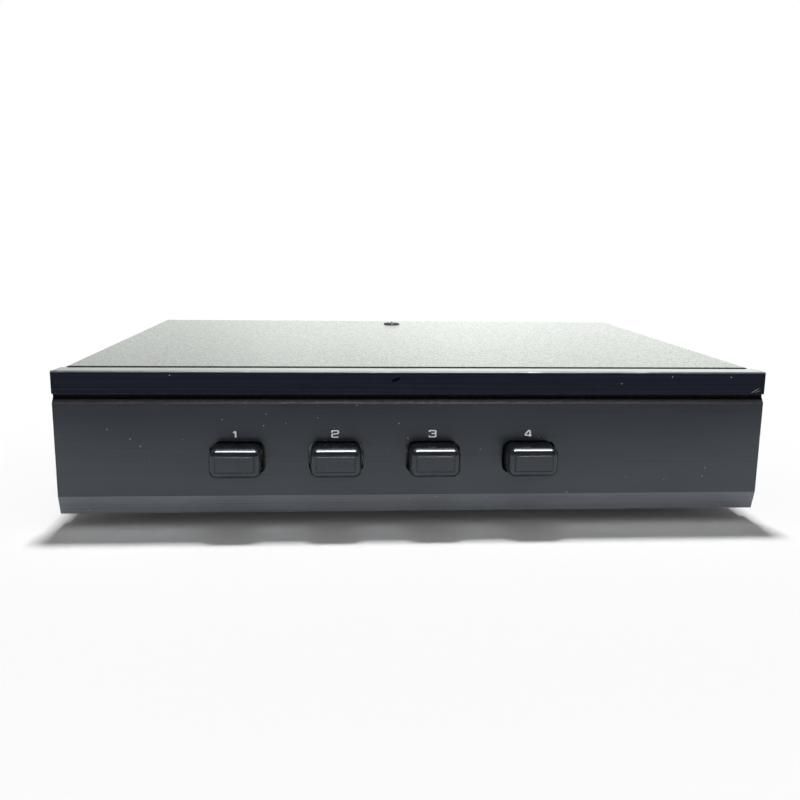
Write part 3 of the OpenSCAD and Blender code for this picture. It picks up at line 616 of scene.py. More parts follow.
def printed_ink(name, colour):
    """White or black screen-printed ink, a little worn."""
    f = Finish(name, colour, 0.5)
    worn = f.band(f.noise(3000, 3.0), 0.55, 0.75)
    f.feed("Base Color", f.blend(f.times(worn, 0.2), colour, shaded(colour, 0.55)))
    f.feed("Roughness", f.band(f.noise(1200), 0.3, 0.7, 0.42, 0.6))
    return f.material


# ---------------------------------------------------------------- sizes and colours

def length(label, default, note):
    """A size, given in millimetres and kept in metres."""
    return FloatProperty(name=label, description=note, default=default * MM, min=0, precision=5,
                         unit="LENGTH")


def colour(label, default, note):
    """A colour between black and white."""
    return FloatVectorProperty(name=label, description=note, default=default, size=3, subtype="COLOR",
                               min=0, max=1)


def share(label, default, note):
    """A level from 0 to 1."""
    return FloatProperty(name=label, description=note, default=default, min=0, max=1, subtype="FACTOR")


def power(label, default, note):
    """A lamp's power in watts."""
    return FloatProperty(name=label, description=note, default=default, min=0, unit="POWER")


class SELECTOR_PG_panel(bpy.types.PropertyGroup):
    """Sizes and colours of the front panel."""
    wall: length("Wall", 3.2, "Thickness of the panel behind its face")
    rim: length("Rim", 2.6, "Thickness of the panel's top, bottom and end walls")
    strip: length("Strip", 8, "Height of the plain strip along the top")
    groove: length("Groove", 3.2, "Height of the groove under the strip")
    groove_step: length("Groove step", 1.2, "Height of the groove's square part")
    groove_depth: length("Groove depth", 1.6, "Depth of the groove")
    band: length("Band", 6.7, "Height of the band that leans back")
    band_lean: length("Band lean", 1.9, "How far the band leans back")
    top_edge: length("Top edge", 0.6, "Radius of the top front edge")
    corner: length("Corner", 1.4, "Radius of the panel's upper corners")
    edge: length("Edges", 0.36, "Radius of the panel's other edges")
    pillar: length("Pillars", 4, "Radius of the screw pillars")
    field_colour: colour("Field", (0.01, 0.012, 0.0165), "Brushed black of the field")
    # the band is paler than the field: partly its own satin finish, partly a painted reflection of the floor
    band_colour_painted_sheen: colour("Band", (0.086, 0.091, 0.102), "Brushed black of the band")
    strip_colour: colour("Strip", (0.0125, 0.0145, 0.023), "Polished black of the strip")
    edge_metal: colour("Worn edge", (0.3, 0.31, 0.33), "Bare metal on worn edges")
    number_height: length("Numbers", 2.3, "Height of the printed numbers between stroke middles")
    number_rise: length("Number rise", 27.75, "Height of the numbers above the panel's bottom")
    number_width: length("Number width", 2.3, "Width of the printed numbers between stroke middles")
    number_stroke: length("Number stroke", 0.41, "Thickness of a number's level strokes")
    number_shift: length("Number shift", 0.3, "How far the numbers stand left of the buttons' middles")
    ink: colour("Ink", (0.95, 0.96, 0.97), "White of the printed numbers")


class SELECTOR_PG_buttons(bpy.types.PropertyGroup):
    """Sizes and colours of the push buttons."""
    gap: length("Gap", 0.8, "Gap between a button and its hole")
    corner: length("Corner", 2.6, "Corner radius, seen from the front")
    face_edge: length("Face edge", 2.1, "Radius of the edges round the face")
    wall: length("Wall", 1.6, "Wall of a button")
    pad_width: length("Pad width", 12.96, "Width of the raised pad")
    pad_height: length("Pad height", 5.4, "Height of the raised pad")
    pad_groove: length("Pad groove", 0.18, "Width and depth of the groove round the pad")
    pad_edge: length("Pad edge", 0.1, "Radius of the pad's edge")
    pad_depth: length("Pad thickness", 0.35, "How far the pad stands out")
    socket: length("Socket", 7, "Side of the square socket inside")
    bore: length("Bore", 2.28, "Radius of the socket's bore")
    black: colour("Black", (0.017, 0.02, 0.026), "Black of the buttons")
    roughness: share("Roughness", 0.17, "Roughness of the buttons")


class SELECTOR_PG_case(bpy.types.PropertyGroup):
    """Sizes and colours of the cover, chassis, feet and screws."""
    sheet: length("Cover sheet", 1.0, "Thickness of the cover")
    bend: length("Bend", 2.0, "Outer bend radius of the cover")
    sheet_edge: length("Sheet edge", 0.16, "Rounding of the cover's cut edges")
    paint: colour("Paint", (0.04, 0.044, 0.038), "Textured paint of the cover")
    paint_roughness: share("Paint roughness", 0.22, "Roughness of the cover's paint")
    side_screw_inset: length("Side screw inset", 30, "Distance from the cover's ends to its side screws")
    top_screw_inset: length("Top screw inset", 16, "Distance from the cover's rear edge to its top screw")
    foot_radius: length("Foot radius", 8, "Radius of a foot at the case")
    steel: colour("Steel", (0.6, 0.61, 0.62), "Plated steel of the chassis")
    rubber: colour("Rubber", (0.02, 0.02, 0.021), "Rubber of the feet")


class SELECTOR_PG_terminals(bpy.types.PropertyGroup):
    """Sizes and colours of the lever terminals."""
    plate_corner: length("Plate corner", 2, "Corner radius of a block's face")
    pitch_x: length("Column pitch", 14, "Distance between the columns of terminals")
    pitch_z: length("Row pitch", 15, "Distance between the rows of terminals")
    body_width: length("Body width", 29.5, "Width of a block's body")
    body_height: length("Body height", 31, "Height of a block's body")
    screw_rise: length("Screw rise", 17.8, "Distance from a block's middle to its screws")
    pocket_width: length("Pocket width", 10.4, "Width of a terminal's pocket")
    pocket_floor: length("Pocket floor", 0.6, "Depth of the pocket's floor below the terminal's middle")
    pocket_top: length("Pocket top", 5.254, "Height of the pocket's roof above the terminal's middle")
    chamber_depth: length("Chamber depth", 7, "Distance from the rear wall to the contact chamber")
    chamber_floor: length("Chamber floor", 6.6, "Depth of the contact chamber's floor")
    slot_width: length("Slot width", 3.6, "Width of a wire slot")
    slot_height: length("Slot height", 3.2, "Height of a wire slot")
    slot_drop: length("Slot drop", 3.4, "Depth of a wire slot's middle below the terminal's middle")
    pivot_depth: length("Pivot depth", 4.5, "Depth of a lever's pivot behind the rear wall")
    pivot_rise: length("Pivot rise", 2.2, "Height of a lever's pivot above the terminal's middle")
    lever_width: length("Lever width", 10, "Width of a lever")
    lever_thick: length("Lever thickness", 2.2, "Thickness of a lever's tab")
    lever_run: length("Lever length", 13.5, "Distance from a lever's pivot to its tip")
    lever_rise: FloatProperty(name="Lever rise", description="Rise of a lever's tab at rest, in degrees",
                              default=14, min=0, max=45)
    tip_lip: length("Tip lip", 2, "Depth of the lip at a lever's tip")
    tip_thick: length("Tip thickness", 1.6, "Thickness of the lip at a lever's tip")
    contact_sheet: length("Contact sheet", 0.5, "Thickness of the contact strip")
    contact_width: length("Contact width", 9, "Width of the contact strip")
    contact_back: length("Contact back", 13.6, "Distance from the rear wall to a contact's upright")
    contact_low: length("Contact floor", 6.35, "Depth of a contact's floor below the terminal's middle")
    contact_top: length("Contact top", 1.88, "Height of a contact's top strip above the terminal's middle")
    contact_reach: length("Contact reach", 9.3, "Where a contact's tongue begins to follow its lever fully")
    hook_width: length("Hook width", 3, "Width of a contact's hook and tag")
    hook_depth: length("Hook depth", 8, "Distance from the rear wall to a contact's hook")
    hook_gap: length("Hook gap", 1, "Height of a hook's end above the contact's floor")
    tag: length("Tag", 6.25, "Length of a contact's solder tag")
    edge: length("Edges", 0.2, "Rounding of the moulded edges")
    moulding: colour("Moulding", (0.013, 0.013, 0.015), "Black of the blocks")
    red: colour("Red", (0.5, 0.018, 0.014), "Red of the upper levers")
    black: colour("Black", (0.02, 0.02, 0.022), "Black of the lower levers")


class SELECTOR_PG_inside(bpy.types.PropertyGroup):
    """Sizes and colours of what is inside the case."""
    spring_wire: length("Spring wire", 0.3, "Wire radius of a return spring")
    spring_turns: IntProperty(name="Spring turns", description="Turns of a return spring", default=5, min=2)
    wire: length("Wire", 0.8, "Radius of an internal wire")
    lacquer: colour("Lacquer", (0.012, 0.09, 0.03), "Green of the circuit board")
    brass: colour("Brass", (0.72, 0.53, 0.24), "Brass of contacts and spacers")


class SELECTOR_PG_studio(bpy.types.PropertyGroup):
    """Levels of the lights and the floor."""
    key: power("Key", 62, "Power of the light overhead")
    strip: power("Strip", 34, "Power of the strip light in front")
    front: power("Front", 2.6, "Power of the low light in front")
    fill: share("Fill", 0.32, "Level of the light from the room in front")
    floor: share("Floor", 0.84, "Whiteness of the floor")


GROUPS = {
    "selector_panel": SELECTOR_PG_panel,
    "selector_buttons": SELECTOR_PG_buttons,
    "selector_case": SELECTOR_PG_case,
    "selector_terminals": SELECTOR_PG_terminals,
    "selector_inside": SELECTOR_PG_inside,
    "selector_studio": SELECTOR_PG_studio,
}


# ---------------------------------------------------------------- front panel

FIELD, STRIP, WORN_AND_HIGHLIT, PAINTED_SHADE, BAND = range(5)     # the order of the panel's finishes


class SELECTOR_OT_front_panel(bpy.types.Operator):
    """Models the front panel with its strip, groove, field, band and button holes"""
    bl_idname = "selector.front_panel"
    bl_label = "Front panel"

    def execute(self, context):
        s = context.scene.selector_panel
        groove_top = PANEL_HIGH.z - s.strip
        field_top = groove_top - s.groove
        panel = self.shell(s, groove_top, field_top)
        self.add_pillars(panel, s)
        self.cut_button_holes(panel, s, context.scene.selector_buttons)
        soften(panel, s.edge, 3)
        self.sort_faces(panel, PANEL_LOW.z + s.band, field_top, groove_top)
        even_shading(panel)
        dress(panel, self.finishes(s), "case", "panel_black", "front_panel")
        return {"FINISHED"}

    def shell(self, s, groove_top, field_top):
        """The outline of the panel's end pushed along X, with round upper corners and a hollow back."""
        low, high = PANEL_LOW, PANEL_HIGH
        groove_back = low.y + s.groove_depth
        outline = arc((low.y + s.top_edge, high.z - s.top_edge), s.top_edge, 90, 180, 5) + [
            (low.y, groove_top), (groove_back, groove_top), (groove_back, groove_top - s.groove_step),
            (low.y, field_top), (low.y, low.z + s.band), (low.y + s.band_lean, low.z),
            (high.y, low.z), (high.y, high.z)]
        panel = pushed_outline("panel_face", [(low.x, y, z) for y, z in outline], (high.x - low.x, 0, 0))
        top = high.z - HAIR
        bevel_where(panel, lambda a, b: abs(a.x - b.x) < HAIR and min(a.z, b.z) > top, s.corner, 4)
        return carve(panel, slab("hollow", (low.x + s.rim, low.y + s.wall, low.z + s.rim),
                                 (high.x - s.rim, high.y + s.wall, high.z - s.rim)))

    def add_pillars(self, panel, s):
        """The bored pillars behind the face that the panel's screws go into."""
        low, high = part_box("panel_screws")
        back, face = PANEL_HIGH.y, PANEL_LOW.y + s.wall
        for x in ends(low.x, high.x, HEAD):
            for z in ends(low.z, high.z, HEAD):
                carve(panel, rod("pillar", (x, face - MM / 2, z), (x, back, z), s.pillar), union=True)
                carve(panel, rod("pillar_bore", (x, face + MM, z), (x, back + MM, z), SCREW_BORE))

    def cut_button_holes(self, panel, s, button):
        """A round-cornered hole for each button, larger by the gap all round."""
        for n in NUMBERS:
            low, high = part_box(f"button_{n}")
            centre, size, wider = (low + high) / 2, high - low, 2 * button.gap
            hole = round_rectangle(size.x + wider, size.z + wider, button.corner + button.gap)
            points = [(centre.x + x, PANEL_LOW.y - MM, centre.z + z) for x, z in hole]
            carve(panel, pushed_outline("button_hole", points, (0, s.wall + 2 * MM, 0)))

    def finishes(self, s):
        """The finishes of field, strip, worn edges with a painted highlight, painted shade in the groove and
        holes, and the band with a painted reflection, in that order.
        """
        return [black_brushed("black_brushed_field", s.field_colour, 0.32, 0.006 * MM, 1.72),
                black_brushed("black_polished_strip", s.strip_colour, 0.1, 0.0015 * MM, 1.55, self.marks()),
                # the edges' pale base is a painted highlight along the rounded edges; the bare patches are
                # wear
                worn_and_highlit_edge("worn_black_edge_painted_highlight", (0.075, 0.078, 0.084), s.edge_metal, 0.34),
                hollows_painted_shade("hollows_painted_shade", (0.002, 0.002, 0.003)),
                # band made paler as a painted reflection of the floor
                black_brushed("black_brushed_band", s.band_colour_painted_sheen, 0.46, 0.006 * MM, 1.86)]

    def marks(self):
        """A rubbed spot near the middle of the strip and two scratches at its right end."""
        end, front, top = PANEL_HIGH.x, PANEL_LOW.y, PANEL_HIGH.z
        return [((-7.6 * MM, front, top - 2.9 * MM), 2 * MM, 0.7 * MM, 20, 0.002),
                ((end - 3.4 * MM, front, top - 6.7 * MM), 2 * MM, 0.13 * MM, 31, 0.3),
                ((end - 2.4 * MM, front, top - 7.0 * MM), 1.3 * MM, 0.11 * MM, 22, 0.2)]

    def sort_faces(self, panel, band_top, field_top, groove_top):
        """Marks each face with the finish of its part of the panel."""
        front = PANEL_LOW.y
        for face in panel.data.polygons:
            y, z, normal = face.center.y, face.center.z, face.normal
            slanted = max(abs(part) for part in normal) <= 0.995
            edge = slanted and y < front + 0.25 * MM
            kind = FIELD
            # rounded front edges take the worn finish with its painted highlight
            if z > groove_top - 0.02 * MM:
                kind = WORN_AND_HIGHLIT if edge or slanted and z > PANEL_HIGH.z - 1.2 * MM else STRIP
            elif edge and abs(z - field_top) < 0.2 * MM:
                kind = WORN_AND_HIGHLIT
            # the groove and the walls of the button holes get the painted shade
            elif z > field_top and y > front + 0.15 * MM and normal.y < 0.5:
                kind = PAINTED_SHADE
            elif z < band_top - 0.1 * MM and normal.y < -0.8:
                kind = BAND
            elif front + HAIR < y < front + 4 * MM and self.in_a_hole(face.center):
                kind = PAINTED_SHADE
            face.material_index = kind

    def in_a_hole(self, place):
        """Whether a place is on the wall or the edge of a button's hole."""
        margin = bpy.context.scene.selector_buttons.gap + 0.35 * MM
        boxes = [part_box(f"button_{n}") for n in NUMBERS]
        return any(low.x - margin < place.x < high.x + margin and low.z - margin < place.z < high.z + margin
                   for low, high in boxes)


class SELECTOR_OT_panel_numbers(bpy.types.Operator):
    """Prints the plain numbers over the buttons and beside the output terminals"""
    bl_idname = "selector.panel_numbers"
    bl_label = "Printed numbers"

    def execute(self, context):
        s = context.scene.selector_panel
        height = PANEL_LOW.z + s.number_rise + s.number_height / 2
        places = [(middle(f"button_{n}").x - s.number_shift, PANEL_LOW.y, height) for n in NUMBERS]
        front = [digit(n, s.number_height, s.number_width / 2, s.number_stroke, place, -1)
                 for n, place in zip(NUMBERS, places)]
        dress(joined("panel_numbers", front), printed_ink("white_ink", s.ink), "case", "panel_black")
        tall, half_wide, stroke, gap = 4 * MM, 1.5 * MM, 0.55 * MM, 4 * MM
        rear = []
        for n in NUMBERS:
            low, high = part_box(f"output_{n}_block")
            place = (high.x + gap, REAR_WALL, (low.z + high.z) / 2)
            rear.append(digit(n, tall, half_wide, stroke, place, 1))
        ink = printed_ink("black_ink", (0.02, 0.02, 0.022))
        dress(joined("terminal_numbers", rear), ink, "case", "chassis_steel")
        return {"FINISHED"}


# ---------------------------------------------------------------- buttons

class SELECTOR_OT_buttons(bpy.types.Operator):
    """Models one push button with its rounded face and raised pad, and copies it"""
    bl_idname = "selector.buttons"
    bl_label = "Push buttons"

    def execute(self, context):
        s = context.scene.selector_buttons
        low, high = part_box("button_1")
        centre = (low + high) / 2
        face = low.y + s.pad_depth
        skirt = PANEL_LOW.y + context.scene.selector_panel.wall
        cap = slab("button_cap", (low.x, face, low.z), (high.x, skirt, high.z))
        bevel_where(cap, lambda a, b: abs(a.y - b.y) > MM, s.corner, 8)
        bevel_where(cap, lambda a, b: max(a.y, b.y) < face + HAIR, s.face_edge, 14)
        self.raise_pad(cap, s, face, centre)
        self.cut_hollow(cap, s, low, high, face, skirt)
        self.add_socket(cap, s, centre, face, high.y)
        soften(cap, 0.12 * MM, 2, 50)
        even_shading(cap, 45)
        black = glossy_black_painted_glints("button_black", s.black, s.roughness)
        places = [(f"button_cap_{n}", middle(f"button_{n}") - centre) for n in NUMBERS]
        for n, copy in zip(NUMBERS, copies(cap, places)):
            dress(copy, black, f"button_{n}", "button_black", f"button_{n}")
        return {"FINISHED"}

    def raise_pad(self, cap, s, face, centre):
        """Sinks a fine groove round the pad's outline and pushes the pad out."""
        least_area = 20 * MM * MM
        pick(cap, "FACE", lambda f: f.normal.y < -0.999 and f.center.y < face + HAIR and f.area > least_area)
        with editing(cap):
            bpy.ops.mesh.inset(thickness=0.03 * MM)
        chosen = {i for part in cap.data.polygons if part.select for i in part.vertices}
        xs, zs = zip(*((cap.data.vertices[i].co.x, cap.data.vertices[i].co.z) for i in chosen))
        rim = 2 * s.pad_groove
        wider, taller = (s.pad_width + rim) / (max(xs) - min(xs)), (s.pad_height + rim) / (max(zs) - min(zs))
        with editing(cap):
            bpy.ops.transform.resize(value=(wider, 1, taller), center_override=centre)
            extrude((0, s.pad_groove, 0))
            bpy.ops.mesh.inset(thickness=s.pad_groove)
            extrude((0, -s.pad_depth - s.pad_groove, 0))
        front = face - s.pad_depth + HAIR
        bevel_where(cap, lambda a, b: max(a.y, b.y) < front, s.pad_edge, 3)

    def cut_hollow(self, cap, s, low, high, face, skirt):
        """Hollows the cap from behind."""
        bottom = face + s.wall + s.face_edge / 2
        hollow = slab("hollow", (low.x + s.wall, bottom, low.z + s.wall),
                      (high.x - s.wall, skirt + MM, high.z - s.wall))
        bevel_where(hollow, lambda a, b: abs(a.y - b.y) > MM, 1.2 * MM, 4)
        carve(cap, hollow)

    def add_socket(self, cap, s, centre, face, back):
        """Adds the bored socket that sits on the plunger."""
        x, z, half = centre.x, centre.z, s.socket / 2
        socket = slab("socket", (x - half, face + s.wall, z - half), (x + half, back, z + half))
        carve(cap, socket, union=True)
        carve(cap, rod("bore", (x, face + 2 * s.wall, z), (x, back + MM, z), s.bore, 32))


# ---------------------------------------------------------------- case

class SELECTOR_OT_cover(bpy.types.Operator):
    """Bends the sheet-steel cover and cuts its screw holes"""
    bl_idname = "selector.cover"
    bl_label = "Cover"

    def execute(self, context):
        s = context.scene.selector_case
        low, high = COVER_LOW, COVER_HIGH
        outer, inner = s.bend, s.bend - s.sheet
        x, z = high.x - outer, high.z - outer
        outline = ([(high.x, low.z)] + arc((x, z), outer, 0, 90, 6) + arc((-x, z), outer, 90, 180, 6)
                   + [(low.x, low.z), (low.x + s.sheet, low.z)]
                   + arc((-x, z), inner, 180, 90, 6) + arc((x, z), inner, 90, 0, 6)
                   + [(high.x - s.sheet, low.z)])
        cover = pushed_outline("cover_hood", [(a, low.y, b) for a, b in outline], (0, high.y - low.y, 0))
        side_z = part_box("cover_screws")[0].z + COVER_HEAD
        for y in ends(low.y, high.y, s.side_screw_inset):
            hole = rod("side_hole", (low.x - MM, y, side_z), (high.x + MM, y, side_z), SCREW_BORE, 24)
            carve(cover, hole)
        y = high.y - s.top_screw_inset
        carve(cover, rod("top_hole", (0, y, high.z - 3 * MM), (0, y, high.z + MM), SCREW_BORE, 24))
        soften(cover, s.sheet_edge, 2, 50)
        even_shading(cover)
        paint = textured_paint("cover_paint", s.paint, s.paint_roughness)
        dress(cover, paint, "case", "cover_paint", "top_cover")
        return {"FINISHED"}


# ---------------------------------------------------------------- screws and feet

def screw(shank, head, tall, long):
    """A pan-head screw with a cross, its seat at the origin and its head facing up."""
    profile = [(shank * 0.7, -long), (shank, -long + 0.4 * MM), (shank, 0), (head, 0), (head, tall * 0.35),
               (head * 0.95, tall * 0.6), (head * 0.82, tall * 0.82), (head * 0.62, tall * 0.95),
               (head * 0.3, tall)]
    piece = turned("screw", profile, 40)
    arm, half, depth = head * 0.55, 0.4 * MM, 0.8 * MM
    cross = [(half, half), (half, arm), (-half, arm), (-half, half), (-arm, half), (-arm, -half),
             (-half, -half), (-half, -arm), (half, -arm), (half, -half), (arm, -half), (arm, half)]
    carve(piece, pushed_outline("cross", [(x, y, tall - depth) for x, y in cross], (0, 0, 2 * MM)))
    return soften(piece, 0.08 * MM, 1, 40)


def screw_set(node, name, finish, slot, spots, long, shank=SHANK, head=HEAD, tall=HEAD_TALL):
    """All the screws of a CAD node, copies of one: spots are (middle of the seat, way the head faces)."""
    places = [(f"{name}_{k}", seat, direction) for k, (seat, direction) in enumerate(spots)]
    piece = joined(name, copies(screw(shank, head, tall, long), places))
    even_shading(piece, 35)
    dress(piece, finish, "case", slot, node)


class SELECTOR_OT_screws(bpy.types.Operator):
    """Models every set of screws with domed heads and cross recesses"""
    bl_idname = "selector.screws"
    bl_label = "Screws"

    def execute(self, context):
        s = context.scene.selector_case
        zinc = bright_metal("zinc_screws", s.steel, 0.3)
        self.upright_screws("foot_screws", zinc, -1)
        self.upright_screws("spacer_screws", zinc, -1)
        self.upright_screws("board_screws", zinc, 1)
        low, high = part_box("panel_screws")
        corners = [(x, z) for x in ends(low.x, high.x, HEAD) for z in ends(low.z, high.z, HEAD)]
        self.level_screws("panel_screws", "panel_screw_set", zinc, 1, corners)
        low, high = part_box("rail_screws")
        row = [(x, (low.z + high.z) / 2) for x in ends(low.x, high.x, HEAD)]
        self.level_screws("rail_screws", "rail_screw_set", zinc, -1, row)
        low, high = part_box("terminal_screws")
        pairs = [(middle(f"{block}_block").x, z) for block in BLOCKS for z in ends(low.z, high.z, SMALL_HEAD)]
        self.level_screws("terminal_screws", "terminal_screw_set", zinc, 1, pairs, SMALL_SHANK, SMALL_HEAD)
        self.cover_screws(s)
        return {"FINISHED"}

    def seat_and_length(self, low, high, way):
        """Where a head that faces up (1) or down (-1) a span sits, and how long its shank is."""
        seat = high - HEAD_TALL if way > 0 else low + HEAD_TALL
        return seat, abs(seat - (low if way > 0 else high))

    def upright_screws(self, node, finish, way):
        """Four screws along Z at the corners of a node's box, their heads up (1) or down (-1)."""
        low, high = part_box(node)
        seat, long = self.seat_and_length(low.z, high.z, way)
        spots = [((x, y, seat), (0, 0, way)) for x in ends(low.x, high.x, HEAD)
                 for y in ends(low.y, high.y, HEAD)]
        screw_set(node, node + "_set", finish, "screw_steel", spots, long)

    def level_screws(self, node, name, finish, way, places, shank=SHANK, head=HEAD):
        """Screws along Y at (x, z) places, their heads to the back (1) or to the front (-1)."""
        low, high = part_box(node)
        seat, long = self.seat_and_length(low.y, high.y, way)
        spots = [((x, seat, z), (0, way, 0)) for x, z in places]
        screw_set(node, name, finish, "screw_steel", spots, long, shank, head)

    def cover_screws(self, s):
        """Two black screws in each side of the cover and one on top."""
        side_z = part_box("cover_screws")[0].z + COVER_HEAD
        rows = ends(COVER_LOW.y, COVER_HIGH.y, s.side_screw_inset)
        spots = [((side * COVER_HIGH.x, y, side_z), (side, 0, 0)) for side in (-1, 1) for y in rows]
        spots.append(((0, COVER_HIGH.y - s.top_screw_inset, COVER_HIGH.z), (0, 0, 1)))
        black = moulded_plastic("black_oxide", (0.03, 0.03, 0.03), 0.22, grain=0.004, wear=0.3)
        screw_set("cover_screws", "cover_screw_set", black, "screw_black", spots, COVER_SCREW_LONG,
                  head=COVER_HEAD, tall=COVER_HEAD_TALL)


class SELECTOR_OT_feet(bpy.types.Operator):
    """Turns a rubber foot with its recess and copies it"""
    bl_idname = "selector.feet"
    bl_label = "Feet"

    def execute(self, context):
        s = context.scene.selector_case
        low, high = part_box("feet")
        r, tall = s.foot_radius, high.z
        tread = r - 0.8 * MM
        recess, recess_top = 4 * MM, 3 * MM
        profile = [(recess, 0.3 * MM), (recess + 0.3 * MM, 0), (tread - 0.3 * MM, 0), (tread, 0.3 * MM),
                   (tread + 0.35 * MM, 2.6 * MM), (tread + 0.1 * MM, 2.9 * MM), (tread + 0.4 * MM, 3.2 * MM),
                   (r, tall - 0.3 * MM), (r - 0.25 * MM, tall), (SCREW_BORE, tall), (SCREW_BORE, recess_top),
                   (recess, recess_top)]
        spots = [(x, y, 0) for x in ends(low.x, high.x, r) for y in ends(low.y, high.y, r)]
        places = [(f"foot_{k}", spot, (0, 0, 1)) for k, spot in enumerate(spots)]
        piece = joined("rubber_feet", copies(turned("foot", profile, 56, closed=True), places))
        even_shading(piece, 35)
        dress(piece, soft_rubber("foot_rubber", s.rubber), "case", "foot_rubber", "feet")
        return {"FINISHED"}


# ---------------------------------------------------------------- terminals

def pivot_of(s, block, column, row):
    """The middle of a lever's pivot: column 0 is the left one seen from behind, row 0 the upper one."""
    centre = middle(block + "_block")
    return Vector((centre.x + (0.5 - column) * s.pitch_x, REAR_WALL - s.pivot_depth,
                   centre.z + (0.5 - row) * s.pitch_z + s.pivot_rise))


def cell_of(s, pivot):
    """The middle of a terminal, on the rear wall, from its lever's pivot."""
    return pivot + Vector((0, s.pivot_depth, -s.pivot_rise))


def terminal_places(s, name):
    """For each terminal, a name with its lever's and the shift from the first terminal."""
    first = pivot_of(s, "input", 0, 0)
    return [(name + node, pivot_of(s, block, column, row) - first)
            for node, block, column, row in terminals()]


class SELECTOR_OT_terminal_blocks(bpy.types.Operator):
    """Moulds one terminal block with its pockets and wire slots, and copies it"""
    bl_idname = "selector.terminal_blocks"
    bl_label = "Terminal blocks"

    def execute(self, context):
        s = context.scene.selector_terminals
        low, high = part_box("input_block")
        centre = (low + high) / 2
        plate = round_rectangle(high.x - low.x, high.z - low.z, s.plate_corner)
        block = pushed_outline("terminal_block", [(centre.x + x, REAR_WALL, centre.z + z) for x, z in plate],
                               (0, high.y - REAR_WALL, 0))

        def melt_in(name, half_wide, half_high, back, front):
            """Adds a slab centred on the block's face."""
            carve(block, slab(name, (centre.x - half_wide, back, centre.z - half_high),
                              (centre.x + half_wide, front, centre.z + half_high)), union=True)

        melt_in("body", s.body_width / 2, s.body_height / 2, low.y, REAR_WALL + MM)
        melt_in("rib", s.body_width / 2 * 0.82, 0.4 * MM, high.y - MM, high.y + 0.5 * MM)
        for column in (0, 1):
            for row in (0, 1):
                carve(block, *self.cell_cutters(s, pivot_of(s, "input", column, row), low.y, high.y))
        for z in (centre.z - s.screw_rise, centre.z + s.screw_rise):
            ways = (centre.x, REAR_WALL - MM, z), (centre.x, high.y + MM, z)
            carve(block, rod("screw_hole", *ways, SMALL_BORE, 24))
        soften(block, s.edge, 2, 50)
        even_shading(block)
        black = moulded_plastic("block_black", s.moulding, 0.42, grain=0.05)
        places = [(f"terminal_block_{name}", middle(name + "_block") - centre) for name in BLOCKS]
        for name, copy in zip(BLOCKS, copies(block, places)):
            dress(copy, black, "case", "block_black", name + "_block")
        return {"FINISHED"}

    def cell_cutters(self, s, pivot, back, front):
        """What one terminal takes out of its block: pocket, chamber, wire slot, mouth, pivot grooves."""
        cell = cell_of(s, pivot)
        half, reach = s.pocket_width / 2, s.pocket_width / 2 + 1.2 * MM
        slot_half, slot_z, slot_rise = s.slot_width / 2, cell.z - s.slot_drop, s.slot_height / 2
        groove, mouth = 1.15 * MM, 0.7 * MM
        chamber, roof = cell.y - s.chamber_depth, cell.z + s.pocket_top

        def cutter(name, half_wide, y_back, y_front, floor, top):
            return slab(name, (cell.x - half_wide, y_back, floor), (cell.x + half_wide, y_front, top))

        return [
            cutter("pocket", half, chamber, front + MM, cell.z - s.pocket_floor, roof),
            cutter("chamber", half, back - MM, chamber, cell.z - s.chamber_floor, roof),
            cutter("slot", slot_half, chamber - MM, front + MM, slot_z - slot_rise, slot_z + slot_rise),
            cutter("mouth", slot_half + mouth, front - mouth, front + MM,
                   slot_z - slot_rise - mouth, slot_z + slot_rise + mouth),
            rod("pivot_groove", pivot - Vector((reach, 0, 0)), pivot + Vector((reach, 0, 0)), groove, 24),
            cutter("groove_way", reach, back - MM, pivot.y, pivot.z - groove, pivot.z + groove),
        ]


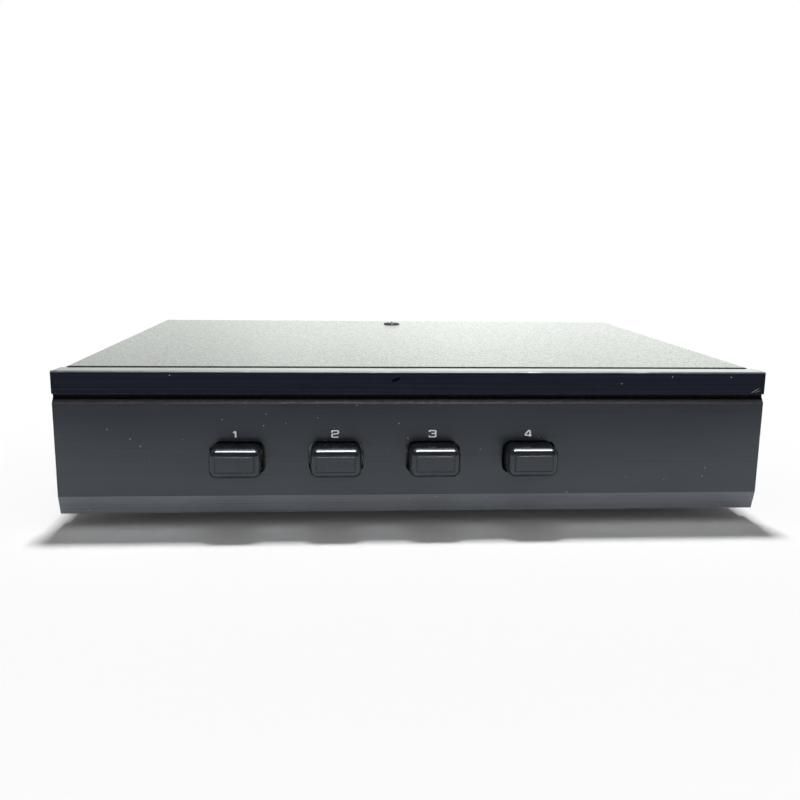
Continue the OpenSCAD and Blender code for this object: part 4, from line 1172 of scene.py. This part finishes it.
class SELECTOR_OT_levers(bpy.types.Operator):
    """Moulds one terminal lever with its ribbed tab, and copies it in red and black"""
    bl_idname = "selector.levers"
    bl_label = "Terminal levers"

    def execute(self, context):
        s = context.scene.selector_terminals
        lever = self.lever(s, pivot_of(s, "input", 0, 0))
        finishes = [moulded_plastic("lever_red", s.red, 0.3, grain=0.03),
                    moulded_plastic("lever_black", s.black, 0.3, grain=0.03)]
        tabs = copies(lever, terminal_places(s, "tab_"))
        for tab, (node, _, _, row) in zip(tabs, terminals()):
            dress(tab, finishes[row], node, "lever_" + COLOURS[row], node)
        return {"FINISHED"}

    def lever(self, s, pivot):
        """The tab with its hub, the two toes that lift the contact, and the trunnions."""
        half_w = s.lever_width / 2

        def across(name, points, x0, x1):
            """An outline seen from the side, pushed from one place across the lever to another."""
            at = [(pivot.x + x0, pivot.y + v, pivot.z + w) for v, w in points]
            return pushed_outline(name, at, (x1 - x0, 0, 0))

        piece = across("tab", self.tab_outline(s), -half_w, half_w)
        hub, sides = 1.9 * MM, 32
        circle = [(hub * math.cos(math.tau * k / sides), hub * math.sin(math.tau * k / sides))
                  for k in range(sides)]
        carve(piece, across("hub", circle, -half_w, half_w), union=True)
        toe = self.toe_outline()
        for side in (-1, 1):
            out = side * (half_w - 0.4 * MM)
            carve(piece, across("toe", toe, *sorted((out, out - side * 1.2 * MM))), union=True)
        reach = Vector((s.pocket_width / 2 + MM, 0, 0))
        carve(piece, rod("trunnion", pivot - reach, pivot + reach, 1.1 * MM, 24), union=True)
        soften(piece, 0.12 * MM, 2, 50)
        return even_shading(piece)

    def tab_outline(self, s):
        """The tab from the side: a slope with a lip under its tip and four ribs on top."""
        rise = math.tan(math.radians(s.lever_rise))
        half_t = s.lever_thick / 2 / math.cos(math.radians(s.lever_rise))
        run, lip, inner = s.lever_run, s.tip_lip, s.lever_run - s.tip_thick
        top = lambda v: v * rise + half_t
        under = lambda v: v * rise - half_t
        outline = [(0, -half_t), (inner - 0.6 * MM, under(inner - 0.6 * MM)),
                   (inner - 0.1 * MM, under(inner) - 0.5 * MM), (inner, under(run) - lip),
                   (run - 0.3 * MM, under(run) - lip), (run, under(run) - lip + 0.3 * MM),
                   (run, top(run) - 0.7 * MM), (run - 0.25 * MM, top(run) - 0.2 * MM),
                   (run - 0.8 * MM, top(run - 0.8 * MM))]
        foot, crest = 0.35 * MM, 0.15 * MM
        for k in range(4):
            v = run - (1.7 + 1.5 * k) * MM
            outline += [(v + foot, top(v + foot)), (v + crest, top(v) + 0.33 * MM),
                        (v - crest, top(v) + 0.26 * MM), (v - foot, top(v - foot))]
        return outline + [(0, half_t)]

    def toe_outline(self):
        """A toe from the side: a finger with a round end, below and behind the pivot."""
        slope, radius, long = math.radians(180 + 27), 0.7 * MM, 4.4 * MM
        straight = [(0, -radius)] + arc((long, 0), radius, -90, 90, 8) + [(0, radius)]
        return [(v * math.cos(slope) - w * math.sin(slope), v * math.sin(slope) + w * math.cos(slope))
                for v, w in straight]


class SELECTOR_OT_contacts(bpy.types.Operator):
    """Bends the sprung contacts: the feet stay in the blocks, the tongues are pieces of their own"""
    bl_idname = "selector.contacts"
    bl_label = "Terminal contacts"

    def execute(self, context):
        s = context.scene.selector_terminals
        brass = bright_metal("brass_contacts", context.scene.selector_inside.brass, 0.26)
        foot, tongue = self.foot(s), self.tongue(s)
        feet = copies(foot, terminal_places(s, "foot_"))
        leaves = copies(tongue, terminal_places(s, "tongue_"))
        for leaf, (node, block, column, row) in zip(leaves, terminals()):
            leaf.data.materials.clear()
            leaf.data.materials.append(brass)
            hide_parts("terminal_contacts")
            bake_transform(leaf)
        dress(joined("contact_feet", feet), brass, "case", "brass", "terminal_contacts")
        return {"FINISHED"}

    def strip(self, s, name, points, width):
        """A strip's outline, seen from the side, pushed across the first terminal."""
        cell = cell_of(s, pivot_of(s, "input", 0, 0))
        at = [(cell.x - width / 2, cell.y + v, cell.z + w) for v, w in points]
        return pushed_outline(name, at, (width, 0, 0))

    def foot(self, s):
        """Floor strip, lower bend and upright, with the narrow tag behind."""
        half, bend = s.contact_sheet / 2, 0.8 * MM
        front, back, low, top = half - s.hook_depth, -s.contact_back, -s.contact_low, s.contact_top - 1.2 * MM
        centre = (back + bend, low + bend)
        outline = ([(front, low + half), (front, low - half)] + arc(centre, bend + half, 270, 180, 5)
                   + [(back - half, top), (back + half, top)] + arc(centre, bend - half, 180, 270, 5))
        piece = self.strip(s, "foot", outline, s.contact_width)
        tag_end, tag_root = back - s.tag, back + 2 * MM
        tag = [(tag_end, low - half), (tag_root, low - half), (tag_root, low + half), (tag_end, low + half)]
        carve(piece, self.strip(s, "tag", tag, s.hook_width), union=True)
        return even_shading(soften(piece, 0.06 * MM, 1, 50))

    def tongue(self, s):
        """Upper bend, top strip over the lever's toes, and the narrow hook that grips the wire."""
        half, bend, hook_bend = s.contact_sheet / 2, 0.8 * MM, 0.5 * MM
        back, top, hook = -s.contact_back, s.contact_top, -s.hook_depth
        centre, seam = (back + bend, top - bend), top - 1.25 * MM
        run = [centre[0] + (hook - centre[0]) * k / 10 for k in range(1, 11)]
        outline = ([(back + half, seam), (back - half, seam)]
                   + arc(centre, bend + half, 180, 90, 5) + [(v, top + half) for v in run]
                   + [(v, top - half) for v in reversed(run)] + arc(centre, bend - half, 90, 180, 5))
        piece = self.strip(s, "tongue", outline, s.contact_width)
        turn = (hook - hook_bend, top - hook_bend)
        tip = s.hook_gap - s.contact_low - half
        root = hook - 1.4 * MM
        grip = ([(root, top + half)] + arc(turn, hook_bend + half, 90, 0, 5)
                + [(hook + half, top + (tip - top) * k / 6) for k in range(1, 7)]
                + [(hook - half, tip + (top - tip) * k / 6) for k in range(5)]
                + [(hook - half, top - half - 0.3 * MM), (hook - half - 0.3 * MM, top - half),
                   (root, top - half)])
        carve(piece, self.strip(s, "hook", grip, s.hook_width), union=True)
        return even_shading(soften(piece, 0.06 * MM, 1, 50))


# ---------------------------------------------------------------- inside the case

class SELECTOR_OT_springs(bpy.types.Operator):
    """Winds one return spring and copies it, one for each button"""
    bl_idname = "selector.springs"
    bl_label = "Return springs"

    def execute(self, context):
        s = context.scene.selector_inside
        low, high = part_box("return_spring_1")
        long = high.y - low.y
        steel = bright_metal("spring_steel", (0.62, 0.62, 0.63), 0.22)
        coil = self.coil(s, (high.z - low.z) / 2 - s.spring_wire, long)
        spots = [middle(f"button_{n}") for n in NUMBERS]
        places = [(f"coil_{n}", (spot.x, low.y + s.spring_wire, spot.z)) for n, spot in zip(NUMBERS, spots)]
        for n, spot, piece in zip(NUMBERS, spots, copies(coil, places)):
            dress(piece, steel, "case", "spring_steel", f"return_spring_{n}")
            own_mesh(piece)
        return {"FINISHED"}

    def coil(self, s, mean, long):
        """A round wire wound along Y at a mean radius, with closed ends."""
        start()
        bpy.ops.mesh.primitive_circle_add(vertices=10, radius=s.spring_wire, location=(mean, 0, 0))
        coil = settle(named("coil"))
        apply_step(coil, "SCREW", axis="Y", iterations=s.spring_turns, steps=28, render_steps=28,
                   screw_offset=(long - 2 * s.spring_wire) / s.spring_turns)
        with editing(coil):
            bpy.ops.mesh.select_all(action="SELECT")
            bpy.ops.mesh.fill_holes(sides=12)
            face_outwards()
        return even_shading(coil, 60)


class SELECTOR_OT_wires(bpy.types.Operator):
    """Runs the red and black wires from the contacts to the board's headers"""
    bl_idname = "selector.wires"
    bl_label = "Internal wires"

    def execute(self, context):
        made = [self.wire(context.scene, block, column, row) for _, block, column, row in terminals()]
        finishes = [moulded_plastic("wire_red", (0.42, 0.02, 0.016), 0.4, grain=0.01),
                    moulded_plastic("wire_black", (0.02, 0.02, 0.02), 0.4, grain=0.01)]
        piece = dress(joined("lead_wires", made), finishes, "case", "wire_pvc", "internal_wires")
        even_shading(piece, 60)
        return {"FINISHED"}

    def wire(self, scene, block, column, row):
        """One wire in a long S from its contact's tag to its place on the header."""
        radius, pitch, steps = scene.selector_inside.wire, 4 * MM, 18
        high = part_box("internal_wires")[1]
        header_low, header_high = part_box("board_headers")
        x = middle(block + "_block").x
        place = 1.5 - row if column == 0 else row - 1.5
        a = Vector((x + (0.5 - column) * scene.selector_terminals.pitch_x, high.y,
                    high.z - radius - row * scene.selector_terminals.pitch_z))
        b = Vector((x + place * pitch, header_high.y, (header_low.z + header_high.z) / 2))
        line = []
        for k in range(steps + 1):
            u = k / steps
            ease = u * u * (3 - 2 * u)
            line.append((a.x + (b.x - a.x) * ease, a.y + (b.y - a.y) * u, a.z + (b.z - a.z) * ease))
        piece = settle(drawn(f"wire_{block}_{column}_{row}", [line], radius, 3))
        for _ in COLOURS:
            piece.data.materials.append(None)
        for face in piece.data.polygons:
            face.material_index = row
        return piece


class SELECTOR_OT_metalwork(bpy.types.Operator):
    """Gives the chassis, board and fittings inside the case their finishes"""
    bl_idname = "selector.metalwork"
    bl_label = "Chassis, board and fittings"

    def execute(self, context):
        steel = context.scene.selector_case.steel
        s = context.scene.selector_inside
        plungers = [f"plunger_{n}" for n in NUMBERS]
        switches = [f"switch_body_{n}" for n in NUMBERS]
        repaint(["chassis", "switch_rail"], plated_steel("plated_chassis", steel, 0.36))
        repaint(["circuit_board"], board_lacquer("board_lacquer", s.lacquer))
        repaint(["board_spacers"], bright_metal("brass_fittings", s.brass, 0.28))
        repaint(["switch_pins"], bright_metal("tinned_pins", (0.7, 0.69, 0.66), 0.35))
        repaint(["power_resistors"], moulded_plastic("resistor_ceramic", (0.72, 0.7, 0.64), 0.7, grain=0.06))
        repaint(["board_headers"], moulded_plastic("header_nylon", (0.78, 0.75, 0.66), 0.45))
        repaint(plungers, moulded_plastic("plunger_white", (0.72, 0.7, 0.64), 0.4))
        repaint(switches, moulded_plastic("switch_black", (0.02, 0.02, 0.021), 0.45))
        return {"FINISHED"}


# ---------------------------------------------------------------- studio

WHITE = (1, 1, 1, 1)


class SELECTOR_OT_stage(bpy.types.Operator):
    """Sets the camera, the lights, the pale floor and the white background"""
    bl_idname = "selector.stage"
    bl_label = "Studio"

    def execute(self, context):
        s = context.scene.selector_studio
        context.scene.view_settings.view_transform = "Standard"
        self.camera(context.scene)
        self.floor(s)
        self.lamps(s)
        self.surroundings(context.scene, s)
        return {"FINISHED"}

    def camera(self, scene):
        """The photograph's viewpoint: place, turn, tilt, roll and lens."""
        place = (-0.02597, -0.37764, 0.10103)
        yaw, tilt, roll = 0.0685, 0.188, 0.0128
        focal, picture, sensor = 842, 800, 36       # pixels, pixels, millimetres
        ahead = Vector((math.sin(yaw) * math.cos(tilt), math.cos(yaw) * math.cos(tilt), -math.sin(tilt)))
        right = Vector((math.cos(yaw), -math.sin(yaw), 0))
        up = right.cross(ahead)
        side = right * math.cos(roll) + up * math.sin(roll)
        top = up * math.cos(roll) - right * math.sin(roll)
        data = bpy.data.cameras.new("viewpoint")
        data.sensor_width = sensor
        data.lens = focal / picture * sensor
        data.clip_start = 0.01
        view = bpy.data.objects.new("viewpoint", data)
        scene.collection.objects.link(view)
        turn = Matrix((side, top, -ahead)).transposed().to_4x4()
        view.matrix_world = Matrix.Translation(place) @ turn
        scene.camera = view

    def floor(self, s):
        """A white table that keeps the object's shadow and fades into the background."""
        start()
        bpy.ops.mesh.primitive_plane_add(size=1)
        floor = named("floor")
        left, right, near, far = -0.75, 0.75, -0.25, 0.85
        spots = [(left, near, 0), (right, near, 0), (left, far, 0), (right, far, 0)]
        for vertex, spot in zip(floor.data.vertices, spots):
            vertex.co = spot
        f = Finish("white_table", (s.floor,) * 3, 0.9)
        f.tree.nodes.remove(f.shader)
        table = f.node("ShaderNodeBsdfDiffuse", Color=(s.floor, s.floor, s.floor, 1))
        white = f.node("ShaderNodeEmission", Color=WHITE, Strength=1.0)
        place = f.stretched((1.0, 1.25, 1.0))
        away = f.node("ShaderNodeVectorMath", {"operation": "LENGTH"}, _0=place).outputs["Value"]
        seen = f.mix(f.band(away, 0.2, 0.42), table, white)
        path = f.node("ShaderNodeLightPath").outputs
        looked = f.math("MAXIMUM", path["Is Camera Ray"], path["Is Glossy Ray"])
        looked = f.math("MAXIMUM", looked, path["Is Transmission Ray"])
        surface = f.tree.nodes["Material Output"].inputs["Surface"]
        f.give(surface, f.mix(looked, table, seen).outputs[0])
        floor.data.materials.append(f.material)

    def lamps(self, s):
        """A soft light overhead and a low one in front, seen in no gloss, and a strip seen in gloss alone."""
        self.softbox("key", (0.02, 0.63, 2.4), (0.34, 0.26), s.key).visible_glossy = False
        self.softbox("front_strip", (0.06, -0.38, 1.0), (0.62, 0.42), s.strip).visible_diffuse = False
        self.softbox("front_low", (0, -1.2, 0.06), (0.9, 0.08), s.front).visible_glossy = False

    def softbox(self, name, place, size, power):
        """A rectangular light that faces the object."""
        light = bpy.data.lights.new(name, "AREA")
        light.shape = "RECTANGLE"
        light.size, light.size_y = size
        light.energy = power
        lamp = bpy.data.objects.new(name, light)
        bpy.context.scene.collection.objects.link(lamp)
        lamp.location = place
        lamp.rotation_euler = (-lamp.location).to_track_quat("-Z", "Y").to_euler()
        return lamp

    def surroundings(self, scene, s):
        """A white background, an even fill, and the room that only reflections see."""
        world = bpy.data.worlds.new("room")
        scene.world = world
        world.use_nodes = True
        world.node_tree.nodes.clear()
        w = Nodes(world.node_tree)
        place = w.node("ShaderNodeTexCoord").outputs["Generated"]
        way = w.node("ShaderNodeSeparateXYZ", _0=place).outputs
        path = w.node("ShaderNodeLightPath").outputs
        room = w.node("ShaderNodeBackground", Color=self.mirrored_room(w, way))
        level = w.band(way["Y"], -0.3, 0.3, s.fill, s.fill * 0.3, "LINEAR")
        fill = w.node("ShaderNodeBackground", Color=WHITE, Strength=level)
        white = w.node("ShaderNodeBackground", Color=WHITE)
        mirrored = w.math("MAXIMUM", path["Is Glossy Ray"], path["Is Transmission Ray"])
        seen = w.mix(path["Is Camera Ray"], w.mix(mirrored, fill, room), white)
        w.node("ShaderNodeOutputWorld", Surface=seen.outputs[0])

    def mirrored_room(self, w, way):
        """A white wall behind the object, brighter low down and near its middle, and a dim front."""
        wall = w.node("ShaderNodeValToRGB", Fac=w.band(way["X"], -1, 1, kind="LINEAR"))
        ramp = wall.color_ramp
        ramp.interpolation = "EASE"
        for stop, level in ((0.3, 0.5), (0.39, 0.66), (0.49, 0.88), (0.58, 1.0), (0.66, 0.92), (0.76, 0.84)):
            ramp.elements.new(stop).color = (level * 0.96, level, level * 0.955, 1)
        ramp.elements.remove(ramp.elements[0])
        ramp.elements.remove(ramp.elements[-1])
        upward = w.band(way["Z"], 0.07, 0.3, 2.4, 1.0, "LINEAR")
        graded = w.node("ShaderNodeVectorMath", {"operation": "SCALE"}, _0=wall.outputs["Color"],
                        Scale=upward).outputs[0]
        return w.blend(w.band(way["Y"], -0.25, 0.35), (0.03, 0.035, 0.05), graded)


OPERATORS = [SELECTOR_OT_front_panel, SELECTOR_OT_panel_numbers, SELECTOR_OT_buttons, SELECTOR_OT_cover,
             SELECTOR_OT_screws, SELECTOR_OT_feet, SELECTOR_OT_terminal_blocks, SELECTOR_OT_levers,
             SELECTOR_OT_contacts, SELECTOR_OT_springs, SELECTOR_OT_wires, SELECTOR_OT_metalwork,
             SELECTOR_OT_stage]


class SELECTOR_PT_pieces(bpy.types.Panel):
    """Lists the pieces of the selector"""
    bl_label = "Speaker selector"
    bl_idname = "SELECTOR_PT_pieces"
    bl_space_type = "VIEW_3D"
    bl_region_type = "UI"
    bl_category = "Selector"

    def draw(self, context):
        for operator in OPERATORS:
            self.layout.operator(operator.bl_idname)


def register():
    for kind in [*GROUPS.values(), *OPERATORS, SELECTOR_PT_pieces]:
        bpy.utils.register_class(kind)
    for name, kind in GROUPS.items():
        setattr(bpy.types.Scene, name, PointerProperty(type=kind))


def unregister():
    for name in GROUPS:
        delattr(bpy.types.Scene, name)
    for kind in [SELECTOR_PT_pieces, *reversed(OPERATORS), *reversed(GROUPS.values())]:
        bpy.utils.unregister_class(kind)


def corners(box):
    """A box as plain lists of numbers."""
    return [[float(number) for number in corner] for corner in box]


def main():
    register()
    for operator in OPERATORS:
        family, name = operator.bl_idname.split(".")
        getattr(getattr(bpy.ops, family), name)()


if __name__ == "__main__":
    main()
